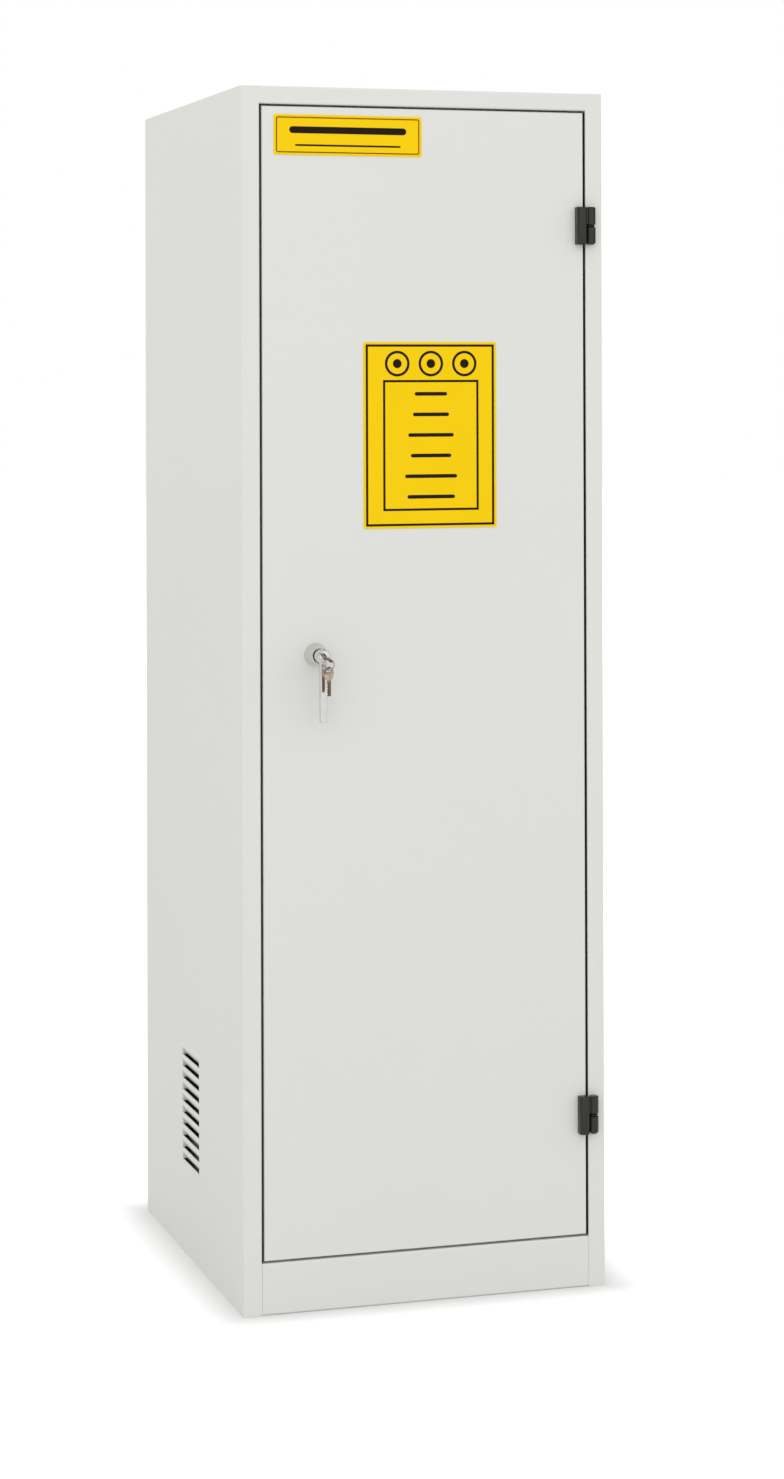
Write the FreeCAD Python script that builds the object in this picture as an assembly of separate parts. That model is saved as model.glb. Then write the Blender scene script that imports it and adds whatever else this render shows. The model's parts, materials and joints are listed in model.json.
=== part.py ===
import FreeCAD, Part
import math
import os
from FreeCAD import Vector

# Single-door chemical storage cabinet. Millimetres, +Z up, +Y from front to back.
# While the pieces are built, y = 0 is the front face, x = 0 the middle and z = 0 the floor.
# save_all() then moves the origin to the middle of the footprint, handle and keys included.

# ---- Body ----------------------------------------------------------------------------------------
width = 500.0
depth = 580.0
height = 1600.0
sheet = 1.2              # thickness of every folded steel sheet
bend = 1.3               # inside radius of every fold
lock_stile = 25.0        # front frame beside the door's free edge
hinge_stile = 23.5       # front frame beside the hinges
header = 23.0            # front frame above the door
plinth = 67.0            # rail below the door
rebate = 26.0            # door stop's distance behind the front face
stop_lip = 14.0          # width of the door stop
weld_flange = 20.0       # width of flanges that are welded to a neighbour
back_flange = 25.0
back_inset = 1.3         # back panel's edge from the body's side
back_corner = 3.0
plinth_seam = 0.3        # line each side of the separate plinth rail
bend_relief = 0.2        # how far a corner stays clear of the inside of a fold

# ---- Louvres in each side ------------------------------------------------------------------------
louvre_count = 10
louvre_pitch = 16.2
louvre_length = 100.0
louvre_opening = 10.0    # height of the pressed pocket on the outer face
louvre_depth = 7.0       # how far the pocket reaches inwards
louvre_front = 248.5     # from the front face to the louvres
louvre_bottom = 127.0

# ---- Door ----------------------------------------------------------------------------------------
door_gap = 3.0
door_thickness = 22.0
door_flange = 16.0       # border folded in behind the door
stiffener_width = 44.0
stiffener_foot = 16.0
fit_gap = 0.3            # between pieces that are only pushed together
seal_width = 10.0
seal_inset = 2.0         # seal from the opening's edge
seal_gap = 0.3           # seal to door, door shut

# ---- Signs on the door ---------------------------------------------------------------------------
sign_thickness = 0.8
sign_corner = 3.0
sign_width = 184.0
sign_height = 246.0
sign_left = 165.0        # from the body's left edge
sign_drop = 334.0        # body's top to the sign's top
name_width = 202.0
name_height = 53.0
name_left = 44.0
name_drop = 36.5         # body's top to the name plate's top

# ---- Hinges --------------------------------------------------------------------------------------
hinge_height = 50.5
upper_hinge_drop = 152.7  # body's top to the upper hinge's top
lower_hinge_bottom = 205.6
knuckle_radius = 6.5
axis_inset = 18.2        # hinge axis from the body's right edge
leaf_width = 13.0
leaf_clearance = 0.8     # leaf block to the barrel beside it
leaf_rounding = 3.0
knuckle_chamfer = 1.0
hinge_pin_radius = 2.5
hinge_pin_length = 40.0
hinge_running_fit = 0.06
hinge_washer = 0.5
hinge_washer_radius = 5.6
hinge_slack = 0.1        # above the washer
hinge_standoff = 0.5     # moving half of the hinge to the stile
screw_radius = 2.0
screw_head_radius = 3.5
screw_head = 2.6
frame_screw_reach = 3.2
frame_screw_shift = 1.0  # away from the door, clear of the fold beside the screw head
door_screw_reach = 8.0
frame_screw_inset = 6.5
door_screw_inset = 9.0

# ---- Handle and lock -----------------------------------------------------------------------------
handle_left = 99.1       # handle axis from the body's left edge
handle_height = 857.0
boss_base_radius = 15.5
boss_front_radius = 10.9
boss_length = 23.0
boss_rounding = 1.3
barrel_radius = 9.0      # threaded barrel behind the boss
barrel_length = 12.0
journal_radius = 7.0
journal_fit = 0.08
journal_tail = 2.0       # how far the journal passes the front face inwards
hub_radius = 9.0
hub_length = 18.7
hub_rounding = 1.3
hub_gap = 0.3
lever_length = 85.5      # below the handle axis
lever_width = 10.0
lever_end_width = 9.2
lever_thickness = 10.0
lever_rounding = 1.6
nut_flats = 27.0
nut_thickness = 5.0
boss_washer_thickness = 1.0
boss_washer_radius = 14.0
plug_radius = 5.5
plug_fit = 0.08
plug_length = 22.0
plug_rim_radius = 6.9
plug_rim = 1.2
plug_rim_gap = 0.3

# ---- Keys ----------------------------------------------------------------------------------------
key_tilt = 45.0          # keyway's lean at rest, from upright
bow_radius = 9.0
bow_thickness = 1.8
bow_standoff = 2.0       # lock face to bow
bow_slot_offset = 4.5    # slot from the bow's centre
bow_slot_half_length = 6.2
bow_slot_half_width = 1.6
key_neck = 7.6
key_neck_gap = 0.5       # lock face to the key's shoulder
key_bites = (1.4, 0.7, 1.8, 1.1)
bite_pitch = 3.6
bite_width = 2.0
blade_width = 6.4
blade_thickness = 1.5
blade_length = 18.0
blade_fit = 0.15         # blade to keyway
ring_radius = 6.9        # to the middle of the wire
ring_wire = 0.65         # wire's own radius
ring_reach = 2.3         # from the handle axis along the slot to the wire
spare_turn = 39.0        # the spare key's face, turned from the cabinet's front
ring_slack = 0.6         # between the wire and the edge of the spare key's slot

# ---- Latch behind the door -----------------------------------------------------------------------
rod_throw = 18.0         # travel of each rod in a quarter turn
rod_radius = 4.0
rod_spread = 11.0        # rods stand this far to each side of the handle axis
rod_plane = 33.0         # rods' middle behind the front face
rod_point = 4.0          # tapered tip
rod_retreat = 7.0        # from a withdrawn tip to the stop lip
rod_gap = 0.3            # rod to its guide
spindle_side = 7.0
spindle_fit = 0.05
spindle_socket = 8.0
cam_front = 24.0
cam_thickness = 4.0
cam_width = 13.0
cam_lean = 45.0          # cam from level, at rest
cam_pin_radius = 3.0
cam_pin_length = 8.0
yoke_thickness = 3.0
yoke_clearance = 0.8     # pin to the long edges of its slot
yoke_wall = 4.0
yoke_grip = 3.0          # how far a rod reaches into the wall of its yoke
cam_screw_radius = 2.0
cam_screw_head_radius = 5.5
cam_screw_head = 2.8
cam_screw_length = 12.0
guide_width = 26.0
inner_guide_reach = 150.0  # from the handle axis
outer_guide_inset = 60.0   # from the withdrawn tip
guide_height = 12.0
guide_wall = 3.0
keeper_gap = 1.2         # rod to the keeper's channel
keeper_wall = 3.0
keeper_height = 13.0

# ---- Inside --------------------------------------------------------------------------------------
upright_width = 25.0
upright_depth = 12.0
front_upright_setback = 70.0
rear_upright_setback = 70.0
slot_pitch = 50.0
slot_width = 5.0
slot_height = 14.0
upright_top_gap = 60.0   # below the top panel
shelf_slots = (6, 13, 20)  # slot that each shelf's clips hang in, counted from the floor
clip_width = 16.0
clip_ledge = 14.0
clip_thickness = 2.0
clip_fit = 0.4
shelf_front = 60.0
shelf_back_gap = 15.0
shelf_side_gap = 3.5
shelf_depth = 35.0
tray_corner = 8.0
tray_rim = 6.0
sump_front = 54.0
sump_depth = 80.0
sump_side_gap = 3.0

# ---- Exhaust duct and wall fixing ----------------------------------------------------------------
duct_radius = 50.0       # outside of the spigot
duct_length = 35.0
duct_from_back = 110.0
duct_flange_radius = 70.0
rivet_radius = 2.0
rivet_head_radius = 4.0
rivet_head = 1.3
shank_fit = 0.05         # round a rivet's or a screw's shank
back_rivet_count = 7
back_rivet_inset = 40.0  # first and last rivet from the panel's ends
wall_hole_radius = 4.5
wall_hole_spread = 360.0
wall_hole_drop = 70.0    # below the top

# ---- Places worked out from the sizes above ------------------------------------------------------
left = -width / 2
right = width / 2
opening_left = left + lock_stile
opening_right = right - hinge_stile
opening_bottom = plinth
opening_top = height - header
door_left = opening_left + door_gap
door_right = opening_right - door_gap
door_bottom = opening_bottom + door_gap
door_top = opening_top - door_gap
liner_back = door_thickness - sheet
axis_x = right - axis_inset
axis_y = -knuckle_radius
leaf_right = axis_x - knuckle_radius - leaf_clearance
leaf_left = leaf_right - leaf_width
leaf_front = -2 * knuckle_radius + hinge_standoff
upper_hinge_bottom = height - upper_hinge_drop - hinge_height
sign_bottom = height - sign_drop - sign_height
name_bottom = height - name_drop - name_height
handle_x = left + handle_left
hub_back = -boss_length - hub_gap
hub_front = hub_back - hub_length
rim_front = hub_front - plug_rim_gap - plug_rim
bow_centre = rim_front - bow_standoff - bow_radius
ring_plane = bow_centre - bow_slot_offset
cam_pin_reach = rod_throw / math.sqrt(2)
cam_back = cam_front + cam_thickness
upper_rod_tip = opening_top - stop_lip - rod_retreat
lower_rod_tip = opening_bottom + stop_lip + rod_retreat
guide_back = rod_plane + rod_radius + guide_wall
seal_right = opening_right - seal_inset
seal_bottom = opening_bottom + seal_inset
seal_top = opening_top - seal_inset
guide_grip = guide_back - liner_back
duct_y = depth - duct_from_back
rear_inside = depth - 2 * sheet
wall_hole_z = height - wall_hole_drop
shelf_back = rear_inside - shelf_back_gap
upright_bottom = plinth
upright_top = height - upright_top_gap

FRONTWARD = Vector(0, -1, 0)
BACKWARD = Vector(0, 1, 0)
UP = Vector(0, 0, 1)
RIGHTWARD = Vector(1, 0, 0)


# ---- Shape helpers -------------------------------------------------------------------------------
def box(x0, x1, y0, y1, z0, z1):
    return Part.makeBox(x1 - x0, y1 - y0, z1 - z0, Vector(x0, y0, z0))


def joined(shapes):
    """One solid from shapes that touch or overlap."""
    return shapes[0].fuse(shapes[1:]).removeSplitter()


def without(shape, tools):
    return shape.cut(tools)


def mirrored(shape):
    """The same shape on the cabinet's other side."""
    return shape.mirror(Vector(0, 0, 0), RIGHTWARD)


def offset_corners(points, distance):
    """The path's corners moved to its left by distance, mitred where it turns."""
    normals = []
    for start, end in zip(points, points[1:]):
        run = math.hypot(end[0] - start[0], end[1] - start[1])
        normals.append(((start[1] - end[1]) / run, (end[0] - start[0]) / run))
    moved = []
    for index, (u, v) in enumerate(points):
        before = normals[max(index - 1, 0)]
        after = normals[min(index, len(normals) - 1)]
        share = distance / (1 + before[0] * after[0] + before[1] * after[1])
        moved.append((u + share * (before[0] + after[0]), v + share * (before[1] + after[1])))
    return moved


def turns_left(before, here, after):
    arriving = (here[0] - before[0], here[1] - before[1])
    leaving = (after[0] - here[0], after[1] - here[1])
    return arriving[0] * leaving[1] > arriving[1] * leaving[0]


def rounded_face(corners, radii):
    """Flat face with straight sides between corners, each corner rounded by its own radius."""
    starts = []
    ends = []
    middles = []
    for index, corner in enumerate(corners):
        to_before = (corners[index - 1] - corner).normalize()
        to_after = (corners[(index + 1) % len(corners)] - corner).normalize()
        half_angle = to_before.getAngle(to_after) / 2
        reach = radii[index] / math.tan(half_angle)
        starts.append(corner + to_before * reach)
        ends.append(corner + to_after * reach)
        inward = (to_before + to_after).normalize()
        middles.append(corner + inward * (radii[index] / math.sin(half_angle) - radii[index]))
    edges = []
    for index in range(len(corners)):
        if radii[index] > 0:
            edges.append(Part.Arc(starts[index], middles[index], ends[index]).toShape())
        following = (index + 1) % len(corners)
        edges.append(Part.makeLine(ends[index], starts[following]))
    return Part.Face(Part.Wire(edges))


def bent_sheet(path, place, run):
    """Sheet folded along a path of (u, v) corners, thick to the path's left, run along a vector."""
    inner = offset_corners(path, sheet)
    path_radii = [0]
    inner_radii = [0]
    for index in range(1, len(path) - 1):
        outside = turns_left(path[index - 1], path[index], path[index + 1])
        path_radii.append(bend + sheet if outside else bend)
        inner_radii.append(bend if outside else bend + sheet)
    path_radii.append(0)
    inner_radii.append(0)
    outline = path + inner[::-1]
    radii = path_radii + inner_radii[::-1]
    return rounded_face([place(u, v) for u, v in outline], radii).extrude(run)


def flat_plate(x0, x1, y0, y1, z0, z1, corner):
    """Level plate with its four upright corners rounded."""
    corners = [Vector(x0, y0, z0), Vector(x1, y0, z0), Vector(x1, y1, z0), Vector(x0, y1, z0)]
    return rounded_face(corners, [corner] * 4).extrude(Vector(0, 0, z1 - z0))


def upright_plate(x0, x1, y0, y1, z0, z1, corner):
    """Upright plate facing the front, with its four corners rounded."""
    corners = [Vector(x0, y0, z0), Vector(x1, y0, z0), Vector(x1, y0, z1), Vector(x0, y0, z1)]
    return rounded_face(corners, [corner] * 4).extrude(Vector(0, y1 - y0, 0))


def rivet(place, outward, grip):
    """Rivet with its domed head standing on place and its shank running back by grip."""
    shank = Part.makeCylinder(rivet_radius, grip, place, outward * -1)
    head = Part.makeCone(rivet_head_radius, rivet_radius, rivet_head, place, outward)
    return joined([shank, head])


def rivet_hole(place, outward, grip):
    start = place + outward * rivet_head
    return Part.makeCylinder(rivet_radius + shank_fit, grip + 2 * rivet_head, start, outward * -1)


def screw(place, inward, shank, head_radius, head, radius):
    """Pan-head screw: head on the near side of place, shank running inward."""
    return joined([
        Part.makeCylinder(radius, shank, place, inward),
        Part.makeCylinder(head_radius, head, place, inward * -1),
    ])


# ---- Body ----------------------------------------------------------------------------------------
def back_rivet_places():
    """Rivets down both back flanges, as (x, z)."""
    step = (height - 2 * back_rivet_inset) / (back_rivet_count - 1)
    offset = width / 2 - back_flange / 2
    levels = [back_rivet_inset + index * step for index in range(back_rivet_count)]
    return [(side * offset, level) for side in (-1, 1) for level in levels]


def louvre(z):
    """Cut and pressed tongue of one louvre in the left wall, its mouth's lower edge at z."""
    y0 = louvre_front
    y1 = louvre_front + louvre_length
    top = z + louvre_opening
    cut = box(left - sheet, left + sheet, y0, y1, z, top)

    def slice_at(y, points, length):
        corners = [Vector(left + inward, y, level) for inward, level in points]
        return rounded_face(corners, [0] * len(corners)).extrude(Vector(0, length, 0))

    reach = louvre_depth + sheet
    tongue = slice_at(y0, [(0, top), (louvre_depth, z), (reach, z), (sheet, top)], louvre_length)
    cheek = [(0, z), (reach, z), (sheet, top), (0, top)]
    cheeks = [slice_at(y0 - sheet, cheek, sheet), slice_at(y1, cheek, sheet)]
    return cut, [tongue] + cheeks


def left_side(stile):
    """Wall, stile, door rebate, stop lip and back flange folded from one sheet, for the left side."""
    inner_edge = left + stile
    back_face = depth - sheet
    folded = [
        (left + back_flange, back_face), (left, back_face), (left, 0), (inner_edge, 0),
        (inner_edge, rebate), (inner_edge + stop_lip, rebate),
    ]
    stages = []
    for path, low, high in (
        (folded[:4], 0, opening_bottom),
        (folded, opening_bottom, opening_top),
        (folded[:4], opening_top, height),
    ):
        stages.append(bent_sheet(path, lambda u, v: Vector(u, v, low), Vector(0, 0, high - low)))
    clear = sheet + bend
    flange_ends = (clear, depth - sheet - clear)
    foot = box(left + sheet, left + weld_flange, *flange_ends, 0, sheet)
    shoulder = box(left + sheet, left + weld_flange, *flange_ends, height - 2 * sheet, height - sheet)
    panel = joined(stages + [foot, shoulder])
    pockets = [louvre(louvre_bottom + index * louvre_pitch) for index in range(louvre_count)]
    panel = without(panel, [cut for cut, _ in pockets])
    panel = joined([panel] + [piece for _, pieces in pockets for piece in pieces])
    holes = [
        rivet_hole(Vector(x, depth, z), BACKWARD, 2 * sheet) for x, z in back_rivet_places() if x < 0
    ]
    return without(panel, holes)


def left_side_panel():
    return left_side(lock_stile)


def right_side_panel():
    panel = mirrored(left_side(hinge_stile))
    return without(panel, [hole for bottom in hinge_bottoms() for hole in frame_screw_holes(bottom)])


def back_panel():
    panel = upright_plate(left + back_inset, right - back_inset, depth - sheet, depth, 0, height,
                          back_corner)
    holes = [rivet_hole(Vector(x, depth, z), BACKWARD, 2 * sheet) for x, z in back_rivet_places()]
    for x in (-wall_hole_spread / 2, wall_hole_spread / 2):
        start = Vector(x, depth - 2 * sheet, wall_hole_z)
        holes.append(Part.makeCylinder(wall_hole_radius, 3 * sheet, start, BACKWARD))
    return without(panel, holes)


def back_panel_rivets():
    return [rivet(Vector(x, depth, z), BACKWARD, 2 * sheet) for x, z in back_rivet_places()]


def duct_rivet_places():
    """Four rivets round the duct's flange."""
    reach = (duct_radius + duct_flange_radius) / 2
    turns = [math.radians(45 + 90 * index) for index in range(4)]
    return [(reach * math.cos(turn), duct_y + reach * math.sin(turn)) for turn in turns]


def duct_bore(low, high):
    return Part.makeCylinder(duct_radius - sheet, high - low, Vector(0, duct_y, low), UP)


def top_panel():
    """Top sheet with the header, door rebate and stop lip folded down at its front."""
    roof = flat_plate(left + sheet, right - sheet, sheet, rear_inside, height - sheet, height,
                      bend + bend_relief)
    fold = bent_sheet(
        [(weld_flange, height), (0, height), (0, opening_top), (rebate, opening_top)],
        lambda u, v: Vector(opening_left, u, v),
        Vector(opening_right - opening_left, 0, 0),
    )
    lip = box(opening_left + stop_lip, opening_right - stop_lip, rebate, rebate + sheet,
              opening_top - stop_lip, opening_top + sheet)
    rear = box(left + back_flange + fit_gap, right - back_flange - fit_gap, rear_inside, depth - sheet,
               height - weld_flange, height)
    panel = joined([roof, fold, lip, rear])
    holes = [rivet_hole(Vector(x, y, height + sheet), UP, 2 * sheet) for x, y in duct_rivet_places()]
    return without(panel, holes + [duct_bore(height - 2 * sheet, height + sheet)])


def floor_panel():
    """Floor of the inside, with flanges folded down to the walls and to the plinth rail."""
    front = rebate + sheet
    low = plinth - weld_flange
    floor = flat_plate(left + sheet, right - sheet, front, rear_inside, plinth - sheet, plinth,
                       bend + bend_relief)
    ends = (front + bend + sheet, rear_inside - bend - sheet)
    flanges = [
        box(left + sheet, left + 2 * sheet, *ends, low, plinth),
        box(right - 2 * sheet, right - sheet, *ends, low, plinth),
        box(left + weld_flange, right - weld_flange, front, front + sheet, low, plinth),
        box(left + back_flange, right - back_flange, rear_inside - sheet, rear_inside, low, plinth),
    ]
    return joined([floor] + flanges)


def plinth_rail():
    """Rail below the door, with the lower door stop folded up behind it."""
    start = opening_left + plinth_seam
    fold = bent_sheet(
        [(rebate, plinth), (0, plinth), (0, 0), (weld_flange, 0)],
        lambda u, v: Vector(start, u, v),
        Vector(opening_right - plinth_seam - start, 0, 0),
    )
    lip = box(opening_left + stop_lip, opening_right - stop_lip, rebate, rebate + sheet,
              plinth - sheet, plinth + stop_lip)
    return joined([fold, lip])


def seal_strip(x0, x1, z0, z1):
    """Rubber strip on the stop lip, just clear of the shut door."""
    return box(x0, x1, door_thickness + seal_gap, rebate, z0, z1)


def left_seal_strip():
    start = opening_left + seal_inset
    return seal_strip(start, start + seal_width, seal_bottom, seal_top)


def right_seal_strip():
    return mirrored(seal_strip(-seal_right, seal_width - seal_right, seal_bottom, seal_top))


def top_seal_strip():
    start = opening_left + seal_inset + seal_width
    return seal_strip(start, seal_right - seal_width, seal_top - seal_width, seal_top)


def bottom_seal_strip():
    start = opening_left + seal_inset + seal_width
    return seal_strip(start, seal_right - seal_width, seal_bottom, seal_bottom + seal_width)


def exhaust_collar():
    """Flanged duct spigot."""
    flange = Part.makeCylinder(duct_flange_radius, sheet, Vector(0, duct_y, height), UP)
    spigot = Part.makeCylinder(duct_radius, duct_length, Vector(0, duct_y, height), UP)
    collar = without(joined([flange, spigot]), [duct_bore(height - sheet, height + duct_length + sheet)])
    return without(collar, [
        rivet_hole(Vector(x, y, height + sheet), UP, 2 * sheet) for x, y in duct_rivet_places()
    ])


def exhaust_rivets():
    return [rivet(Vector(x, y, height + sheet), UP, 2 * sheet) for x, y in duct_rivet_places()]


# ---- Inside --------------------------------------------------------------------------------------
def upright_fronts():
    """Where the front and the rear uprights begin behind the front face."""
    return front_upright_setback, rear_inside - rear_upright_setback - upright_width


def slot_bottom(number):
    return upright_bottom + slot_pitch * number


def left_upright(front):
    """Channel on the left wall, open to the wall, with slots for the shelf clips."""
    wall = left + sheet
    face = wall + upright_depth
    channel = box(wall, face, front, front + upright_width, upright_bottom, upright_top)
    hollow = box(wall - sheet, face - sheet, front + sheet, front + upright_width - sheet,
                 upright_bottom - sheet, upright_top + sheet)
    middle = front + upright_width / 2
    count = int((upright_top - upright_bottom - slot_height) // slot_pitch)
    slots = [
        box(face - 2 * sheet, face + sheet, middle - slot_width / 2, middle + slot_width / 2,
            slot_bottom(number), slot_bottom(number) + slot_height)
        for number in range(1, count + 1)
    ]
    return without(channel, [hollow] + slots)


def front_left_upright():
    return left_upright(upright_fronts()[0])


def front_right_upright():
    return mirrored(left_upright(upright_fronts()[0]))


def rear_left_upright():
    return left_upright(upright_fronts()[1])


def rear_right_upright():
    return mirrored(left_upright(upright_fronts()[1]))


def left_clip(front, number):
    """Clip hung in one slot of a left upright, its ledge level with the slot's top."""
    face = left + sheet + upright_depth
    middle = front + upright_width / 2
    top = slot_bottom(number) + slot_height - clip_fit
    back = box(face, face + clip_thickness, middle - clip_width / 2, middle + clip_width / 2,
               top - slot_height, top)
    ledge = box(face, face + clip_ledge, middle - clip_width / 2, middle + clip_width / 2,
                top - clip_thickness, top)
    tongue_half = slot_width / 2 - clip_fit
    tongue = box(face - 3 * sheet, face, middle - tongue_half, middle + tongue_half,
                 slot_bottom(number), top)
    return joined([back, ledge, tongue])


def shelf_clips():
    clips = []
    for number in shelf_slots:
        for front in upright_fronts():
            clips.append(left_clip(front, number))
            clips.append(mirrored(left_clip(front, number)))
    return clips


def tray(x0, x1, y0, y1, z0, deep):
    """Folded tray with rounded corners and a rim turned outwards."""
    wall = (x0 + tray_rim, x1 - tray_rim, y0 + tray_rim, y1 - tray_rim)
    body = flat_plate(*wall, z0, z0 + deep, tray_corner)
    rim = flat_plate(x0, x1, y0, y1, z0 + deep - sheet, z0 + deep, tray_corner + tray_rim)
    hollow = flat_plate(wall[0] + sheet, wall[1] - sheet, wall[2] + sheet, wall[3] - sheet,
                        z0 + sheet, z0 + deep + sheet, tray_corner - sheet)
    return without(joined([body, rim]), [hollow])


def shelf(number):
    """Bunded shelf that rests on its four clips."""
    half = width / 2 - sheet - upright_depth - shelf_side_gap
    level = slot_bottom(number) + slot_height - clip_fit
    return tray(-half, half, shelf_front, shelf_back, level, shelf_depth)


def lower_shelf():
    return shelf(shelf_slots[0])


def middle_shelf():
    return shelf(shelf_slots[1])


def upper_shelf():
    return shelf(shelf_slots[2])


def sump_tray():
    """Deep tray on the cabinet's floor."""
    half = width / 2 - sheet - upright_depth - sump_side_gap
    return tray(-half, half, sump_front, shelf_back, plinth, sump_depth)


# ---- Hinges --------------------------------------------------------------------------------------
def hinge_bottoms():
    return lower_hinge_bottom, upper_hinge_bottom


def frame_screw_places(bottom):
    """Two screws behind the lower knuckle, on the inner face of the stile."""
    split = bottom + hinge_height / 2
    levels = (bottom + frame_screw_inset, split - frame_screw_inset)
    return [Vector(axis_x + frame_screw_shift, sheet, level) for level in levels]


def door_screw_places(bottom):
    """Two screws behind the leaf's block, on the inner face of the door skin."""
    middle = (leaf_left + leaf_right) / 2
    levels = (bottom + door_screw_inset, bottom + hinge_height - door_screw_inset)
    return [Vector(middle, sheet, level) for level in levels]


def screw_hole(place, reach):
    return Part.makeCylinder(screw_radius + shank_fit, reach + sheet, place, FRONTWARD)


def frame_screw_holes(bottom):
    return [screw_hole(place, frame_screw_reach) for place in frame_screw_places(bottom)]


def door_screw_holes(bottom):
    return [screw_hole(place, door_screw_reach) for place in door_screw_places(bottom)]


def barrel(low, high):
    """Knuckle with both rims chamfered."""
    whole = Part.makeCylinder(knuckle_radius, high - low, Vector(axis_x, axis_y, low), UP)
    rims = [edge for edge in whole.Edges if len(edge.Vertexes) == 1]
    return whole.makeChamfer(knuckle_chamfer, rims)


def pin_bottom(bottom):
    return bottom + (hinge_height - hinge_pin_length) / 2


def pin_bore(bottom, gap):
    reach = hinge_pin_length + 2 * gap
    start = Vector(axis_x, axis_y, pin_bottom(bottom) - gap)
    return Part.makeCylinder(hinge_pin_radius + gap, reach, start, UP)


def hinge_frame_leaf(bottom):
    """Lower knuckle on a foot that stands on the stile."""
    split = bottom + hinge_height / 2
    high = split - hinge_washer
    foot = box(axis_x - knuckle_radius, axis_x + knuckle_radius, axis_y, 0, bottom, high)
    body = joined([barrel(bottom, high), foot])
    return without(body, [pin_bore(bottom, 0)] + frame_screw_holes(bottom))


def hinge_door_leaf(bottom):
    """Full-height block on the door, with the upper knuckle beside it."""
    top = bottom + hinge_height
    split = bottom + hinge_height / 2
    low = split + hinge_slack
    block = box(leaf_left, leaf_right, leaf_front, 0, bottom, top)
    rounded = [edge for edge in block.Edges if upright_front_edge(edge)]
    block = block.makeFillet(leaf_rounding, rounded)
    web = box(leaf_right - leaf_rounding, axis_x, leaf_front + leaf_rounding, -hinge_standoff, low, top)
    trimmed = barrel(low, top).cut(box(leaf_left, right, -hinge_standoff, sheet, low, top))
    body = joined([block, web, trimmed])
    return without(body, [pin_bore(bottom, hinge_running_fit)] + door_screw_holes(bottom))


def upright_front_edge(edge):
    """True for an upright edge on the block's front face."""
    ends = edge.Vertexes
    upright = abs(ends[0].Z - ends[1].Z) > leaf_width
    return upright and ends[0].Y < leaf_front + sheet


def hinge_pin(bottom):
    start = Vector(axis_x, axis_y, pin_bottom(bottom))
    return Part.makeCylinder(hinge_pin_radius, hinge_pin_length, start, UP)


def upper_hinge_frame_leaf():
    return hinge_frame_leaf(upper_hinge_bottom)


def lower_hinge_frame_leaf():
    return hinge_frame_leaf(lower_hinge_bottom)


def upper_hinge_door_leaf():
    return hinge_door_leaf(upper_hinge_bottom)


def lower_hinge_door_leaf():
    return hinge_door_leaf(lower_hinge_bottom)


def upper_hinge_pin():
    return hinge_pin(upper_hinge_bottom)


def lower_hinge_pin():
    return hinge_pin(lower_hinge_bottom)


def hinge_washers():
    washers = []
    for bottom in hinge_bottoms():
        start = Vector(axis_x, axis_y, bottom + hinge_height / 2 - hinge_washer)
        disc = Part.makeCylinder(hinge_washer_radius, hinge_washer, start, UP)
        washers.append(without(disc, [pin_bore(bottom, hinge_running_fit)]))
    return washers


def hinge_screw(place, reach):
    """Screw through the sheet whose inner face place is on, reaching into the hinge in front of it."""
    shank = sheet + reach - shank_fit
    return screw(place, FRONTWARD, shank, screw_head_radius, screw_head, screw_radius)


def frame_hinge_screws():
    return [
        hinge_screw(place, frame_screw_reach)
        for bottom in hinge_bottoms() for place in frame_screw_places(bottom)
    ]


def door_hinge_screws():
    return [
        hinge_screw(place, door_screw_reach)
        for bottom in hinge_bottoms() for place in door_screw_places(bottom)
    ]


# ---- Door ----------------------------------------------------------------------------------------
def door_skin():
    """Pan of one sheet: face, folded edges and a border turned in behind."""
    pan = box(door_left, door_right, 0, door_thickness, door_bottom, door_top)
    face_edges = [edge for edge in pan.Edges if all(vertex.Y == 0 for vertex in edge.Vertexes)]
    pan = pan.makeFillet(bend + sheet, face_edges)
    hollow = box(door_left + sheet, door_right - sheet, sheet, liner_back,
                 door_bottom + sheet, door_top - sheet)
    window = box(door_left + door_flange, door_right - door_flange, sheet, door_thickness + sheet,
                 door_bottom + door_flange, door_top - door_flange)
    holes = [hole for bottom in hinge_bottoms() for hole in door_screw_holes(bottom)]
    boss_hole = handle_cylinder(barrel_radius + fit_gap, -sheet, 2 * sheet)
    return without(pan, [hollow, window, boss_hole] + holes)


def door_liner():
    """Flat inner panel welded behind the border."""
    inset = sheet + fit_gap
    panel = box(door_left + inset, door_right - inset, liner_back - sheet, liner_back,
                door_bottom + inset, door_top - inset)
    access = handle_cylinder(boss_washer_radius, liner_back - 2 * sheet, liner_back + sheet)
    return without(panel, [access])


def door_stiffener():
    """Hat channel down the door's middle, its feet on the skin and its crown on the liner."""
    middle = (door_left + door_right) / 2
    inner = stiffener_width / 2
    outer = inner + stiffener_foot
    crown = liner_back - 2 * sheet
    path = [
        (middle - outer, sheet), (middle - inner, sheet), (middle - inner, crown),
        (middle + inner, crown), (middle + inner, sheet), (middle + outer, sheet),
    ]
    low = door_bottom + door_flange
    return bent_sheet(path, lambda u, v: Vector(u, v, low), UP * (door_top - door_flange - low))


def sign_plate():
    x0 = left + sign_left
    return upright_plate(x0, x0 + sign_width, -sign_thickness, 0, sign_bottom, sign_bottom + sign_height,
                         sign_corner)


def name_plate():
    x0 = left + name_left
    return upright_plate(x0, x0 + name_width, -sign_thickness, 0, name_bottom, name_bottom + name_height,
                         sign_corner)


# ---- Handle and lock -----------------------------------------------------------------------------
def on_handle_axis(y):
    return Vector(handle_x, y, handle_height)


def handle_cylinder(radius, front, back):
    """Round bar on the handle's axis, from one depth to another."""
    return Part.makeCylinder(radius, back - front, on_handle_axis(front), BACKWARD)


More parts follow.
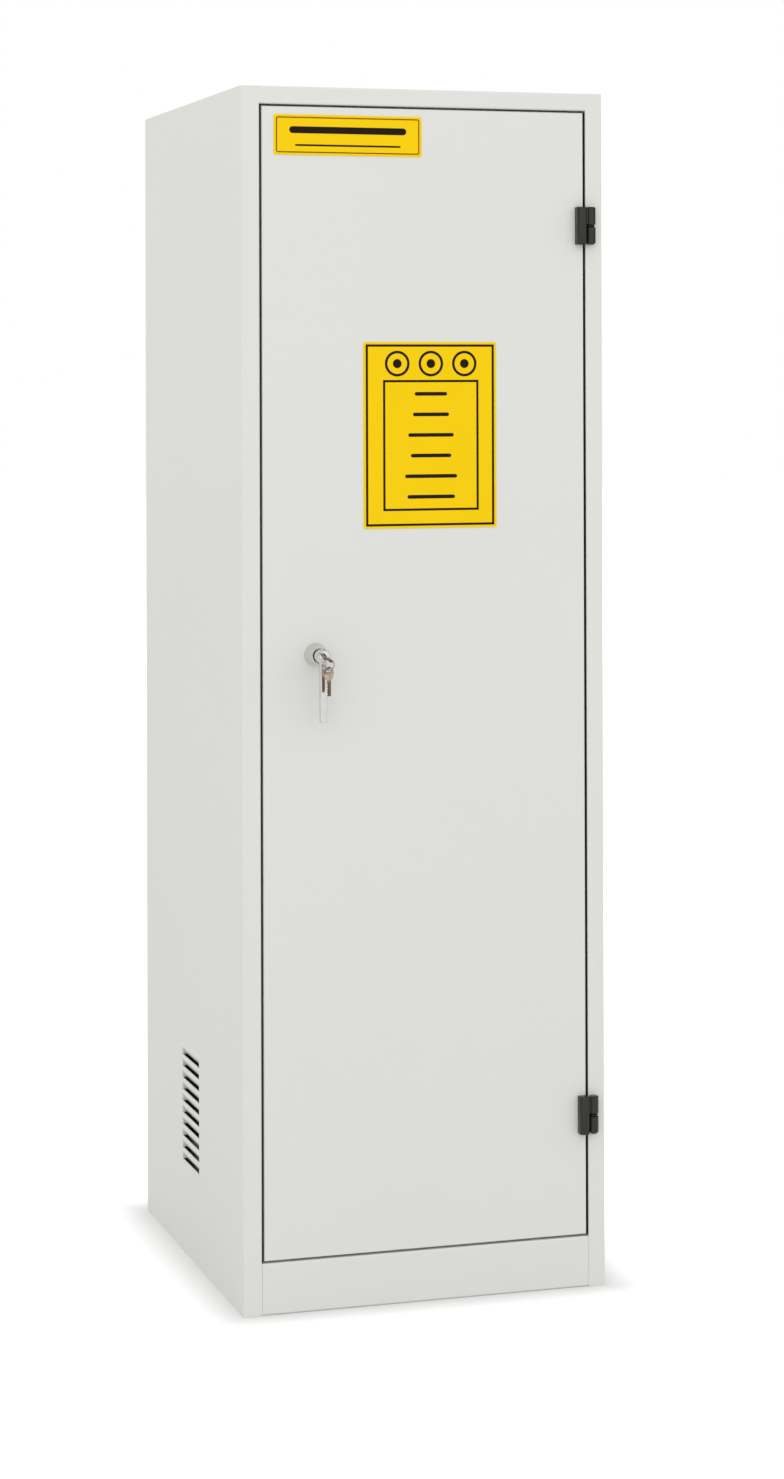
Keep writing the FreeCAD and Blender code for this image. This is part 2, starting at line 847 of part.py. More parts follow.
def rims_before(shape, y):
    """Round rims of a turned shape that lie in front of y."""
    return [edge for edge in shape.Edges if len(edge.Vertexes) == 1 and edge.Vertexes[0].Y < y]


def handle_boss():
    """Tapered boss on the door, with a threaded barrel through the skin."""
    cone = Part.makeCone(boss_base_radius, boss_front_radius, boss_length, on_handle_axis(0), FRONTWARD)
    cone = cone.makeFillet(boss_rounding, rims_before(cone, -boss_length / 2))
    whole = joined([cone, handle_cylinder(barrel_radius, -sheet, barrel_length)])
    bore = handle_cylinder(journal_radius + journal_fit, -boss_length - sheet, barrel_length + sheet)
    return without(whole, [bore])


def boss_washer():
    disc = handle_cylinder(boss_washer_radius, sheet, sheet + boss_washer_thickness)
    return without(disc, [handle_cylinder(barrel_radius + fit_gap, 0, barrel_length)])


def boss_nut():
    """Hexagon nut that clamps the boss to the skin."""
    front = sheet + boss_washer_thickness
    reach = nut_flats / math.sqrt(3)
    corners = []
    for index in range(6):
        turn = math.radians(60 * index)
        corners.append(on_handle_axis(front) + Vector(reach * math.cos(turn), 0, reach * math.sin(turn)))
    hexagon = rounded_face(corners, [0] * 6).extrude(Vector(0, nut_thickness, 0))
    return without(hexagon, [handle_cylinder(barrel_radius + shank_fit, 0, barrel_length)])


def square_bar(side, front, back):
    half = side / 2
    return box(handle_x - half, handle_x + half, front, back, handle_height - half, handle_height + half)


def handle_lever():
    """Hub, hanging arm and journal in one casting, bored for the lock and the spindle."""
    hub = Part.makeCylinder(hub_radius, hub_length, on_handle_axis(hub_back), FRONTWARD)
    hub = hub.makeFillet(hub_rounding, rims_before(hub, hub_back - hub_length / 2))
    arm_back = hub_front + lever_thickness
    tip = handle_height - lever_length
    corners = [
        Vector(handle_x - lever_width / 2, hub_front, handle_height),
        Vector(handle_x + lever_width / 2, hub_front, handle_height),
        Vector(handle_x + lever_end_width / 2, hub_front, tip),
        Vector(handle_x - lever_end_width / 2, hub_front, tip),
    ]
    arm = rounded_face(corners, [0, 0, lever_rounding, lever_rounding]).extrude(
        Vector(0, arm_back - hub_front, 0))
    long_edges = [
        edge for edge in arm.Edges
        if abs(edge.Vertexes[0].Z - edge.Vertexes[-1].Z) > lever_length / 2
    ]
    arm = arm.makeFillet(lever_rounding, long_edges)
    journal = handle_cylinder(journal_radius, hub_back - sheet, journal_tail)
    casting = joined([hub, arm, journal])
    lock_bore = handle_cylinder(plug_radius + plug_fit, hub_front - sheet, hub_front + plug_length)
    socket_side = spindle_side + 2 * spindle_fit
    socket = square_bar(socket_side, journal_tail - spindle_socket, journal_tail + sheet)
    return without(casting, [lock_bore, socket])


def handle_spindle():
    bar = square_bar(spindle_side, journal_tail - spindle_socket, cam_back)
    thread_end = cam_back - cam_screw_length - sheet
    thread = handle_cylinder(cam_screw_radius + shank_fit, thread_end, cam_back + sheet)
    return without(bar, [thread])


def cam_pin_places():
    """Pins at 45 degrees to each side of the handle's axis, as offsets in x and z."""
    reach = cam_pin_reach / math.sqrt(2)
    return (reach, -reach), (-reach, reach)


def latch_cam():
    """Bar on the spindle with one pin for each rod."""
    half = cam_width / 2
    bar = box(handle_x - cam_pin_reach, handle_x + cam_pin_reach, cam_front, cam_back,
              handle_height - half, handle_height + half)
    bar.rotate(on_handle_axis(0), BACKWARD, cam_lean)
    pieces = [bar]
    for x, z in cam_pin_places():
        middle = on_handle_axis(cam_front) + Vector(x, 0, z)
        pieces.append(Part.makeCylinder(half, cam_thickness, middle, BACKWARD))
        pin_reach = cam_thickness + cam_pin_length
        pieces.append(Part.makeCylinder(cam_pin_radius, pin_reach, middle, BACKWARD))
    hole = square_bar(spindle_side + 2 * spindle_fit, cam_front - sheet, cam_back + sheet)
    return without(joined(pieces), [hole])


def cam_screw():
    return screw(on_handle_axis(cam_back), FRONTWARD, cam_screw_length,
                 cam_screw_head_radius, cam_screw_head, cam_screw_radius)


def lock_plug():
    """Lock cylinder with its rim, slotted for the key."""
    body = handle_cylinder(plug_radius, rim_front, hub_front + plug_length - fit_gap)
    rim = handle_cylinder(plug_rim_radius, rim_front, rim_front + plug_rim)
    half_wide = blade_width / 2 + blade_fit
    half_thick = blade_thickness / 2 + blade_fit
    keyway = box(handle_x - half_thick, handle_x + half_thick, rim_front - sheet,
                 rim_front + blade_length, handle_height - half_wide, handle_height + half_wide)
    keyway.rotate(on_handle_axis(0), BACKWARD, -key_tilt)
    return without(joined([body, rim]), [keyway])


def key_blank():
    """Key in an upright plane through the handle's axis, bow towards the front."""
    half = bow_thickness / 2
    bow_start = Vector(handle_x - half, bow_centre, handle_height)
    bow = Part.makeCylinder(bow_radius, bow_thickness, bow_start, RIGHTWARD)
    slot_y = bow_centre - bow_slot_offset
    slot = box(handle_x - bow_thickness, handle_x + bow_thickness,
               slot_y - bow_slot_half_width, slot_y + bow_slot_half_width,
               handle_height - bow_slot_half_length, handle_height + bow_slot_half_length)
    shoulder = rim_front - key_neck_gap
    neck = box(handle_x - half, handle_x + half, bow_centre, shoulder,
               handle_height - key_neck / 2, handle_height + key_neck / 2)
    blade_half = blade_thickness / 2
    tip = rim_front + blade_length - fit_gap
    blade = box(handle_x - blade_half, handle_x + blade_half, shoulder, tip,
                handle_height - blade_width / 2, handle_height + blade_width / 2)
    cuts = []
    for index, bite in enumerate(key_bites):
        start = tip - (index + 1) * bite_pitch
        bottom = handle_height + blade_width / 2 - bite
        cuts.append(box(handle_x - blade_thickness, handle_x + blade_thickness,
                        start, start + bite_width, bottom, handle_height + blade_width))
    return without(joined([bow, neck, blade]), [slot] + cuts)


def key():
    blank = key_blank()
    blank.rotate(on_handle_axis(0), BACKWARD, -key_tilt)
    return blank


def ring_top():
    """Middle of the ring's wire where it passes through the bow's slot."""
    lean = math.radians(key_tilt)
    along_slot = Vector(math.sin(lean), 0, -math.cos(lean))
    return on_handle_axis(ring_plane) + along_slot * ring_reach


def ring_centre():
    return ring_top() - UP * ring_radius


def key_ring():
    return Part.makeTorus(ring_radius, ring_wire, ring_centre(), BACKWARD)


def spare_key():
    """The same key hanging blade down from the ring, its slot round the ring's lowest point."""
    blank = key_blank()
    blank.rotate(on_handle_axis(bow_centre), RIGHTWARD, -90)
    blank.rotate(on_handle_axis(bow_centre), UP, 90)
    blank.rotate(on_handle_axis(bow_centre), UP, spare_turn)
    wire_to_bow = bow_slot_offset + bow_slot_half_width - ring_wire - ring_slack
    wanted = ring_centre() - UP * (ring_radius + wire_to_bow)
    blank.translate(wanted - on_handle_axis(bow_centre))
    return blank


# ---- Latch rods ----------------------------------------------------------------------------------
def rod_x(side):
    return handle_x + side * rod_spread


def latch_rod(side, end):
    """Rod with a slotted yoke round its cam pin; side is +1 or -1 in x, end is the tip's height."""
    pin_z = handle_height - side * rod_throw / 2
    toward = 1 if end > handle_height else -1
    slot_half = cam_pin_radius + yoke_clearance
    slot_inner = cam_pin_reach / math.sqrt(2) - slot_half
    slot_outer = cam_pin_reach + slot_half
    front = rod_plane - yoke_thickness / 2
    back = rod_plane + yoke_thickness / 2

    def across(inner, outer):
        return sorted((handle_x + side * inner, handle_x + side * outer))

    plate = box(*across(slot_inner - yoke_wall, slot_outer + yoke_wall), front, back,
                pin_z - slot_half - yoke_wall, pin_z + slot_half + yoke_wall)
    slot = box(*across(slot_inner, slot_outer), front - sheet, back + sheet,
               pin_z - slot_half, pin_z + slot_half)
    start = pin_z + toward * (slot_half + yoke_wall - yoke_grip)
    shaft_end = end - toward * rod_point
    along = UP * toward
    foot = Vector(rod_x(side), rod_plane, start)
    neck = Vector(rod_x(side), rod_plane, shaft_end)
    shaft = Part.makeCylinder(rod_radius, abs(shaft_end - start), foot, along)
    point = Part.makeCone(rod_radius, rod_radius / 2, rod_point, neck, along)
    return without(joined([plate, shaft, point]), [slot])


def upper_rod():
    return latch_rod(1, upper_rod_tip)


def lower_rod():
    return latch_rod(-1, lower_rod_tip)


def guide_places():
    """Two guides on each rod, as (side, z)."""
    return [
        (1, handle_height + inner_guide_reach), (1, upper_rod_tip - outer_guide_inset),
        (-1, handle_height - inner_guide_reach), (-1, lower_rod_tip + outer_guide_inset),
    ]


def rod_guides():
    """Moulded guide blocks on the liner."""
    blocks = []
    for side, z in guide_places():
        x = rod_x(side)
        block = box(x - guide_width / 2, x + guide_width / 2, liner_back, guide_back,
                    z - guide_height / 2, z + guide_height / 2)
        bore = Part.makeCylinder(rod_radius + rod_gap, guide_height + 2 * sheet,
                                 Vector(x, rod_plane, z - guide_height / 2 - sheet), UP)
        holes = [rivet_hole(place, BACKWARD, guide_grip) for place in guide_rivet_places(side, z)]
        blocks.append(without(block, [bore] + holes))
    return blocks


def guide_rivet_places(side, z):
    """A rivet each side of the rod, heads on the guide's back."""
    offset = (guide_width / 2 + rod_radius + rod_gap) / 2
    return [Vector(rod_x(side) + sign * offset, guide_back, z) for sign in (-1, 1)]


def guide_rivets():
    return [
        rivet(place, BACKWARD, guide_grip)
        for side, z in guide_places() for place in guide_rivet_places(side, z)
    ]


def keeper(side, low):
    """Channel behind the stop lip, closed by the lip, that the thrown rod enters."""
    x = rod_x(side)
    half = rod_radius + keeper_gap
    front = rebate + sheet
    inner_back = rod_plane + half
    block = box(x - half - keeper_wall, x + half + keeper_wall, front, inner_back + keeper_wall,
                low, low + keeper_height)
    channel = box(x - half, x + half, front - sheet, inner_back,
                  low - sheet, low + keeper_height + sheet)
    return without(block, [channel])


def upper_keeper():
    return keeper(1, opening_top - stop_lip)


def lower_keeper():
    return keeper(-1, opening_bottom + stop_lip - keeper_height)


# ---- Output --------------------------------------------------------------------------------------
PIECES = (
    left_side_panel, right_side_panel, back_panel, back_panel_rivets, top_panel, floor_panel,
    plinth_rail, left_seal_strip, right_seal_strip, top_seal_strip, bottom_seal_strip,
    exhaust_collar, exhaust_rivets,
    front_left_upright, front_right_upright, rear_left_upright, rear_right_upright,
    shelf_clips, lower_shelf, middle_shelf, upper_shelf, sump_tray, upper_keeper, lower_keeper,
    upper_hinge_frame_leaf, lower_hinge_frame_leaf, upper_hinge_pin, lower_hinge_pin, hinge_washers,
    frame_hinge_screws, upper_hinge_door_leaf, lower_hinge_door_leaf, door_hinge_screws,
    door_skin, door_liner, door_stiffener, sign_plate, name_plate, handle_boss, boss_washer, boss_nut,
    rod_guides, guide_rivets, handle_lever, handle_spindle, latch_cam, cam_screw,
    lock_plug, key, key_ring, spare_key, upper_rod, lower_rod,
)


def build_all():
    """Every piece as a shape, by node name; a group of like pieces is a compound of solids."""
    shapes = {}
    for piece in PIECES:
        built = piece()
        shapes[piece.__name__] = Part.makeCompound(built) if isinstance(built, list) else built
    return shapes


def origin_shift(shapes):
    """Move that puts the origin in the middle of the footprint."""
    boxes = [shape.BoundBox for shape in shapes.values()]
    front = min(limits.YMin for limits in boxes)
    back = max(limits.YMax for limits in boxes)
    return Vector(0, -(front + back) / 2, 0)


def save_all():
    os.makedirs("parts", exist_ok=True)
    shapes = build_all()
    shift = origin_shift(shapes)
    for name, shape in shapes.items():
        shape.translate(shift)
        shape.exportStep("parts/" + name + ".step")


if __name__ == "__main__":
    save_all()
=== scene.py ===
import json
import math

import bmesh
import bpy
from mathutils import Matrix, Vector

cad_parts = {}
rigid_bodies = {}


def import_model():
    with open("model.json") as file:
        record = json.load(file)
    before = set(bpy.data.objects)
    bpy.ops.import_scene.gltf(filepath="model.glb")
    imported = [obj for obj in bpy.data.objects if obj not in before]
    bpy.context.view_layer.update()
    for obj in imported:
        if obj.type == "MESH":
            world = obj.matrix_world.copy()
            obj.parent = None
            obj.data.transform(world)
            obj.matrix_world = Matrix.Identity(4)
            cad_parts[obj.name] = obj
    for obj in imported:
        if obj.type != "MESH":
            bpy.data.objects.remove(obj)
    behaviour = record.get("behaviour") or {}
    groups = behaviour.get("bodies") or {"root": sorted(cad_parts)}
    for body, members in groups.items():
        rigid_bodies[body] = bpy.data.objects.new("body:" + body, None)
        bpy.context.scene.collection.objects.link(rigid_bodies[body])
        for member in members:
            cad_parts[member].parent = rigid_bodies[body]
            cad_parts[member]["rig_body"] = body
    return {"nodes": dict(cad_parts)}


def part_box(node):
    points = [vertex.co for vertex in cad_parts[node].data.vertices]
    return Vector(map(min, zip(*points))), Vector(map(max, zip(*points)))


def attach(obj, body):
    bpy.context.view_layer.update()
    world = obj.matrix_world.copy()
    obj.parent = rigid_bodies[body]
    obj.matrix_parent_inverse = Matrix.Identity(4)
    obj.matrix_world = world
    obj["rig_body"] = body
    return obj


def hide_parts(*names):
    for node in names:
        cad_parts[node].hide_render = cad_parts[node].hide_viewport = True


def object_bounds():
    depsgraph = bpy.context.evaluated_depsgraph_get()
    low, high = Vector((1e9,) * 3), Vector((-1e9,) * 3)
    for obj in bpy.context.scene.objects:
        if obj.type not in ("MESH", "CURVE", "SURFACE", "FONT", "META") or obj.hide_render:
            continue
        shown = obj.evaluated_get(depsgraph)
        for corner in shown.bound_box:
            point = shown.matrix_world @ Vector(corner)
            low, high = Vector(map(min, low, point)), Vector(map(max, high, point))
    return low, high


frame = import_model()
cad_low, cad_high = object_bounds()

bl_info = {
    "name": "Chemical storage cabinet",
    "version": (1, 0, 0),
    "blender": (4, 5, 0),
    "location": "View3D > Sidebar > Cabinet",
    "description": "Finishes, fittings and studio for a single-door chemical storage cabinet",
    "category": "Object",
}

MM = 0.001
FACING_FRONT = (math.pi / 2, 0, 0)   # turns a primitive's own +Z to the cabinet's front
WELD = 0.001 * MM                    # corners nearer than this are one corner
FLAT_ANGLE = math.radians(0.5)       # faces nearer to one plane than this are one face
SMOOTH_ANGLE = math.radians(30)      # sharper edges than this stay crisp
EASED_ANGLE = math.radians(40)       # sharper edges than this are eased
TURNED_SIDES = 96
RIM_SIDES = 64                       # of a printed ring
DOT_SIDES = 32


def colour(text):
    """Linear colour of an sRGB hex value."""
    parts = [int(text[place:place + 2], 16) / 255 for place in (1, 3, 5)]
    return tuple(
        part / 12.92 if part <= 0.04045 else ((part + 0.055) / 1.055) ** 2.4 for part in parts)


# ---- Sizes and colours --------------------------------------------------------------
def length(name, text, size):
    return bpy.props.FloatProperty(
        name=name, description=text, default=size, unit="LENGTH", min=0.0)


def paint(name, text, hex_value):
    return bpy.props.FloatVectorProperty(
        name=name, description=text, default=colour(hex_value), subtype="COLOR", min=0.0, max=1.0)


class CabinetSizes(bpy.types.PropertyGroup):
    """Sizes of the fittings and prints."""
    ink: length("Ink", "Thickness of printed lines above the plate", 0.1 * MM)
    sign_margin: length("Sign margin", "Plate's edge to the sign's outer line", 3.2 * MM)
    sign_line: length("Sign line", "Width of the sign's outer and inner lines", 3.0 * MM)
    mark_size: length("Mark", "Width of each blank mark on the sign", 34 * MM)
    mark_line: length("Mark line", "Width of the line round each mark", 3.4 * MM)
    mark_dot: length("Mark dot", "Radius of the dot in each mark", 6.0 * MM)
    bar: length("Bar", "Width of the sign's bars", 4.8 * MM)
    bar_pitch: length("Bar pitch", "From one bar to the next", 27.2 * MM)
    name_bar: length("Name plate bar", "Width of the name plate's upper bar", 9.0 * MM)
    name_margin: length("Name plate margin", "Plate's edge to its line", 3.0 * MM)
    name_line: length("Name plate line", "Width of the name plate's line", 1.6 * MM)
    name_corner: length("Name plate corner", "Rounding of the name plate's line", 3.0 * MM)
    boss_front: length("Boss front", "Radius of the boss at its front", 10.9 * MM)
    boss_recess: length("Boss recess", "Depth of the recess round the hub", 8.0 * MM)
    boss_rim: length("Boss rim", "Width of the boss's front rim", 0.9 * MM)
    barrel: length("Barrel", "Radius of the threaded barrel behind the boss", 9.0 * MM)
    journal: length("Journal", "Radius of the handle's journal in the boss", 7.0 * MM)
    journal_tail: length("Journal tail", "How far the journal passes the door's face", 2.0 * MM)
    plug_bore: length("Lock bore", "Radius of the hub's bore for the lock", 5.58 * MM)
    plug_depth: length("Lock depth", "Depth of the hub's bore for the lock", 22.0 * MM)
    lever_thickness: length("Lever thickness", "Thickness of the lever's arm", 10.0 * MM)
    lever_edge: length("Lever edge", "Rounding of the lever's edges", 1.6 * MM)
    hub_edge: length("Hub edge", "Rounding of the hub's front rim", 1.3 * MM)
    key_edge: length("Key edge", "Rounding of the keys' edges", 0.2 * MM)
    hinge_crown: length("Hinge crown", "Rounding of the hinge block's outer edge", 4.5 * MM)
    hinge_edge: length("Hinge edge", "Rounding of the hinge block's ends", 0.7 * MM)
    knuckle_notch: length("Knuckle notch", "Chamfer where the knuckles meet", 2.2 * MM)
    knuckle_foot: length("Knuckle foot", "Chamfer at the foot of the lower knuckle", 2.4 * MM)
    pin_bore: length("Pin bore", "Radius of the knuckles' bore", 2.56 * MM)
    pin_length: length("Pin length", "Length of the hinge pin", 40.0 * MM)
    # the seal's lip lines the gap beside the door as a dark sheet: painted shade in the gap
    seal_lip: length("Seal lip", "Thickness of the door seal's lip", 1.2 * MM)
    seal_gap: length("Seal gap", "Gap beside the door that the lip lines", 3.0 * MM)
    seal_setback: length("Seal setback", "Door's face to the front of the seal's lip", 1.4 * MM)
    peel: length("Orange peel", "Width of one dimple in the powder coat", 2.6 * MM)


class CabinetColours(bpy.types.PropertyGroup):
    """Colours of the finishes."""
    body: paint("Body", "Powder coat of the body and the door", "#E2E3DE")
    tray: paint("Trays", "Powder coat of the shelves and the sump", "#D3D4D0")
    sign: paint("Signs", "Laminate of both plates", "#FCD200")
    ink: paint("Ink", "Lines and marks on the signs", "#1F160C")
    border_ink: paint("Border ink", "Line round the name plate", "#7E5A10")
    hinge: paint("Hinges", "Powder coat of the hinges", "#1E1E1B")
    chrome: paint("Chrome", "Plating of the handle", "#DFDEDC")
    zinc: paint("Zinc", "Plating of brackets and screws", "#C3C6C9")
    ring: paint("Ring", "Nickel of the split ring", "#A8A39B")
    ring_worn: paint("Worn ring", "Steel where the ring's nickel has rubbed off", "#6A625A")
    key: paint("Keys", "Nickel of the keys", "#D6C4B1")
    key_worn: paint("Worn keys", "Brass where the nickel has rubbed off", "#6E4E3C")
    # the rubber's reddish dark brown also stands for the shade in the gap beside the door, where
    # the lip lines it
    rubber: paint("Rubber", "Door seal", "#3C211D")
    nylon: paint("Nylon", "Guides, keepers and washers", "#2B2B2C")
    floor: paint("Floor", "Studio floor", "#D6D6D6")


def sizes():
    return bpy.context.scene.cabinet_sizes


def colours():
    return bpy.context.scene.cabinet_colours


# ---- Material helpers ---------------------------------------------------------------
def add_node(tree, kind, inputs=None, **settings):
    """Adds a node, sets its properties, and gives its inputs a value or a link."""
    made = tree.nodes.new(kind)
    for name, value in settings.items():
        setattr(made, name, value)
    for name, value in (inputs or {}).items():
        if isinstance(value, bpy.types.NodeSocket):
            tree.links.new(value, made.inputs[name])
        else:
            made.inputs[name].default_value = value
    return made


def blank_finish(name):
    """A new material with nothing in it: the material, its node tree and the place on the piece."""
    made = bpy.data.materials.new(name)
    made.use_nodes = True
    made.node_tree.nodes.clear()
    place = add_node(made.node_tree, "ShaderNodeTexCoord").outputs["Object"]
    return made, made.node_tree, place


def surfaced(made, inputs):
    """Joins a principled surface to the material's output."""
    shader = add_node(made.node_tree, "ShaderNodeBsdfPrincipled", inputs)
    add_node(made.node_tree, "ShaderNodeOutputMaterial", {"Surface": shader.outputs["BSDF"]})
    return made


def shade(base, share):
    """A colour made darker or lighter, as a node takes it."""
    return (*(part * share for part in base), 1.0)


# ---- Finishes -----------------------------------------------------------------------
GLOSS_SPREAD = 0.08    # how far the powder coat's roughness strays each way
PATCH_EDGE = 0.12      # softness of the edge of a worn patch


def powder_coat(name, base, roughness, sheen=0.35):
    """Epoxy powder coat on steel, sprayed and baked."""
    # semi-gloss and very even; the eye sees faint orange peel and a hint of cloud in the colour
    made, tree, place = blank_finish(name)
    # real dimples are about 1 mm across and are drawn wider, so that they show at all
    peel = add_node(tree, "ShaderNodeTexNoise", {
        "Vector": place, "Scale": 1 / sizes().peel, "Detail": 1.0}).outputs["Fac"]
    cloud = add_node(tree, "ShaderNodeTexNoise", {
        "Vector": place, "Scale": 1 / (350 * MM), "Detail": 1.0}).outputs["Fac"]
    tint = add_node(tree, "ShaderNodeMix", {
        "Factor": cloud, "A": shade(base, 0.98), "B": shade(base, 1.01)}, data_type="RGBA")
    gloss = add_node(tree, "ShaderNodeMapRange", {
        "Value": peel, "To Min": roughness - GLOSS_SPREAD,
        "To Max": roughness + GLOSS_SPREAD})
    dimples = add_node(tree, "ShaderNodeBump", {
        "Height": peel, "Distance": 0.03 * MM, "Strength": 0.2})
    return surfaced(made, {
        "Base Color": tint.outputs["Result"], "Roughness": gloss.outputs["Result"],
        "Normal": dimples.outputs["Normal"], "IOR": 1.5, "Specular IOR Level": sheen})


def bright_zinc():
    """Zinc plate on formed steel."""
    # a soft blue-grey metal, clouded by crystals 5 to 10 mm across
    made, tree, place = blank_finish("zinc_plated_steel")
    spangle = add_node(tree, "ShaderNodeTexVoronoi", {
        "Vector": place, "Scale": 1 / (8 * MM)}, feature="SMOOTH_F1").outputs["Distance"]
    haze = add_node(tree, "ShaderNodeTexNoise", {
        "Vector": place, "Scale": 1 / (25 * MM), "Detail": 3.0}).outputs["Fac"]
    base = colours().zinc
    tint = add_node(tree, "ShaderNodeMix", {
        "Factor": spangle, "A": shade(base, 1.0), "B": shade(base, 0.8)}, data_type="RGBA")
    gloss = add_node(tree, "ShaderNodeMapRange", {"Value": haze, "To Min": 0.22, "To Max": 0.46})
    return surfaced(made, {
        "Base Color": tint.outputs["Result"], "Metallic": 1.0,
        "Roughness": gloss.outputs["Result"]})


def polished_chrome():
    """Chrome plate on a polished zinc casting."""
    # near-mirror, with a haze from handling and a slow ripple where the casting was buffed
    made, tree, place = blank_finish("chrome_plated_zinc")
    haze = add_node(tree, "ShaderNodeTexNoise", {
        "Vector": place, "Scale": 1 / (9 * MM), "Detail": 4.0}).outputs["Fac"]
    ripple = add_node(tree, "ShaderNodeTexNoise", {
        "Vector": place, "Scale": 1 / (7 * MM), "Detail": 0.0}).outputs["Fac"]
    base = colours().chrome
    tint = add_node(tree, "ShaderNodeMix", {
        "Factor": haze, "A": shade(base, 0.86), "B": shade(base, 1.12)}, data_type="RGBA")
    gloss = add_node(tree, "ShaderNodeMapRange", {"Value": haze, "To Min": 0.05, "To Max": 0.2})
    buffed = add_node(tree, "ShaderNodeBump", {
        "Height": ripple, "Distance": 0.25 * MM, "Strength": 0.35})
    return surfaced(made, {
        "Base Color": tint.outputs["Result"], "Metallic": 1.0, "Roughness": gloss.outputs["Result"],
        "Normal": buffed.outputs["Normal"]})


def key_nickel(name, base, worn, wear_from, blade=None):
    """Nickel plate on cut brass, or on wound spring steel: blade gives the heights over which a
    blade turns brown towards its bottom.
    """
    # dull and scratched by other keys, with the bare metal's brown where the nickel has rubbed off
    made, tree, place = blank_finish(name)
    wear = add_node(tree, "ShaderNodeTexNoise", {
        "Vector": place, "Scale": 1 / (4 * MM), "Detail": 4.0}).outputs["Fac"]
    rubbed = add_node(tree, "ShaderNodeMapRange", {
        "Value": wear, "From Min": wear_from, "From Max": wear_from + PATCH_EDGE}).outputs["Result"]
    if blade:
        # the blade turns brown towards its bottom, below the given heights
        height = add_node(tree, "ShaderNodeSeparateXYZ", {"Vector": place}).outputs["Z"]
        darker_downwards = add_node(tree, "ShaderNodeMapRange", {
            "Value": height, "From Min": blade[0], "From Max": blade[1],
            "To Min": 0.9, "To Max": 0.0})
        rubbed = add_node(tree, "ShaderNodeMath", {
            0: rubbed, 1: darker_downwards.outputs["Result"]}, operation="MAXIMUM").outputs[0]
    # scratches are a few hundredths of a millimetre wide and are drawn ten times as wide
    stretched = add_node(tree, "ShaderNodeMapping", {"Vector": place, "Scale": (1, 1, 6)})
    scratch = add_node(tree, "ShaderNodeTexNoise", {
        "Vector": stretched.outputs["Vector"], "Scale": 1 / (2 * MM), "Detail": 2.0}).outputs["Fac"]
    tint = add_node(tree, "ShaderNodeMix", {
        "Factor": rubbed, "A": shade(base, 1.0), "B": shade(worn, 1.0)}, data_type="RGBA")
    gloss = add_node(tree, "ShaderNodeMapRange", {"Value": scratch, "To Min": 0.18, "To Max": 0.42})
    lines = add_node(tree, "ShaderNodeBump", {
        "Height": scratch, "Distance": 0.04 * MM, "Strength": 0.4})
    return surfaced(made, {
        "Base Color": tint.outputs["Result"], "Metallic": 1.0, "Roughness": gloss.outputs["Result"],
        "Normal": lines.outputs["Normal"]})


def sponge_rubber():
    """Closed-cell sponge rubber strip."""
    # matt black with a fine skin of cells, drawn 1.2 mm wide so that they show
    made, tree, place = blank_finish("sponge_rubber")
    cells = add_node(tree, "ShaderNodeTexVoronoi", {
        "Vector": place, "Scale": 1 / (1.2 * MM)}).outputs["Distance"]
    base = colours().rubber
    tint = add_node(tree, "ShaderNodeMix", {
        "Factor": cells, "A": shade(base, 1.2), "B": shade(base, 0.7)}, data_type="RGBA")
    skin = add_node(tree, "ShaderNodeBump", {
        "Height": cells, "Distance": 0.15 * MM, "Strength": 0.5})
    return surfaced(made, {
        "Base Color": tint.outputs["Result"], "Roughness": 0.92, "Normal": skin.outputs["Normal"],
        "Specular IOR Level": 0.25})


def moulded_nylon():
    """Injection-moulded nylon."""
    # near black, with the soft grain of a spark-eroded mould, drawn about 1 mm wide
    made, tree, place = blank_finish("moulded_nylon")
    grain = add_node(tree, "ShaderNodeTexNoise", {
        "Vector": place, "Scale": 1 / (1 * MM), "Detail": 2.0}).outputs["Fac"]
    base = colours().nylon
    tint = add_node(tree, "ShaderNodeMix", {
        "Factor": grain, "A": shade(base, 1.15), "B": shade(base, 0.8)}, data_type="RGBA")
    gloss = add_node(tree, "ShaderNodeMapRange", {"Value": grain, "To Min": 0.4, "To Max": 0.6})
    skin = add_node(tree, "ShaderNodeBump", {
        "Height": grain, "Distance": 0.05 * MM, "Strength": 0.35})
    return surfaced(made, {
        "Base Color": tint.outputs["Result"], "Roughness": gloss.outputs["Result"],
        "Normal": skin.outputs["Normal"], "IOR": 1.53})


def sign_laminate():
    """Printed vinyl under a matt film, on a thin plate."""
    # one clean saturated yellow; the film gives a low sheen with a slow waviness
    made, tree, place = blank_finish("vinyl_laminate")
    cloud = add_node(tree, "ShaderNodeTexNoise", {
        "Vector": place, "Scale": 1 / (60 * MM), "Detail": 1.0}).outputs["Fac"]
    film = add_node(tree, "ShaderNodeTexNoise", {
        "Vector": place, "Scale": 1 / (5 * MM), "Detail": 1.0}).outputs["Fac"]
    base = colours().sign
    tint = add_node(tree, "ShaderNodeMix", {
        "Factor": cloud, "A": shade(base, 0.97), "B": shade(base, 1.0)}, data_type="RGBA")
    gloss = add_node(tree, "ShaderNodeMapRange", {"Value": film, "To Min": 0.38, "To Max": 0.52})
    waves = add_node(tree, "ShaderNodeBump", {
        "Height": film, "Distance": 0.03 * MM, "Strength": 0.2})
    return surfaced(made, {
        "Base Color": tint.outputs["Result"], "Roughness": gloss.outputs["Result"],
        "Normal": waves.outputs["Normal"], "Specular IOR Level": 0.12})


def screen_print(name, base):
    """Screen-printed ink under the same film."""
    # dark and matt, laid a little unevenly along each line
    made, tree, place = blank_finish(name)
    cloud = add_node(tree, "ShaderNodeTexNoise", {
        "Vector": place, "Scale": 1 / (6 * MM), "Detail": 2.0}).outputs["Fac"]
    tint = add_node(tree, "ShaderNodeMix", {
        "Factor": cloud, "A": shade(base, 0.85), "B": shade(base, 1.2)}, data_type="RGBA")
    gloss = add_node(tree, "ShaderNodeMapRange", {"Value": cloud, "To Min": 0.55, "To Max": 0.7})
    return surfaced(made, {
        "Base Color": tint.outputs["Result"], "Roughness": gloss.outputs["Result"],
        "Specular IOR Level": 0.12})
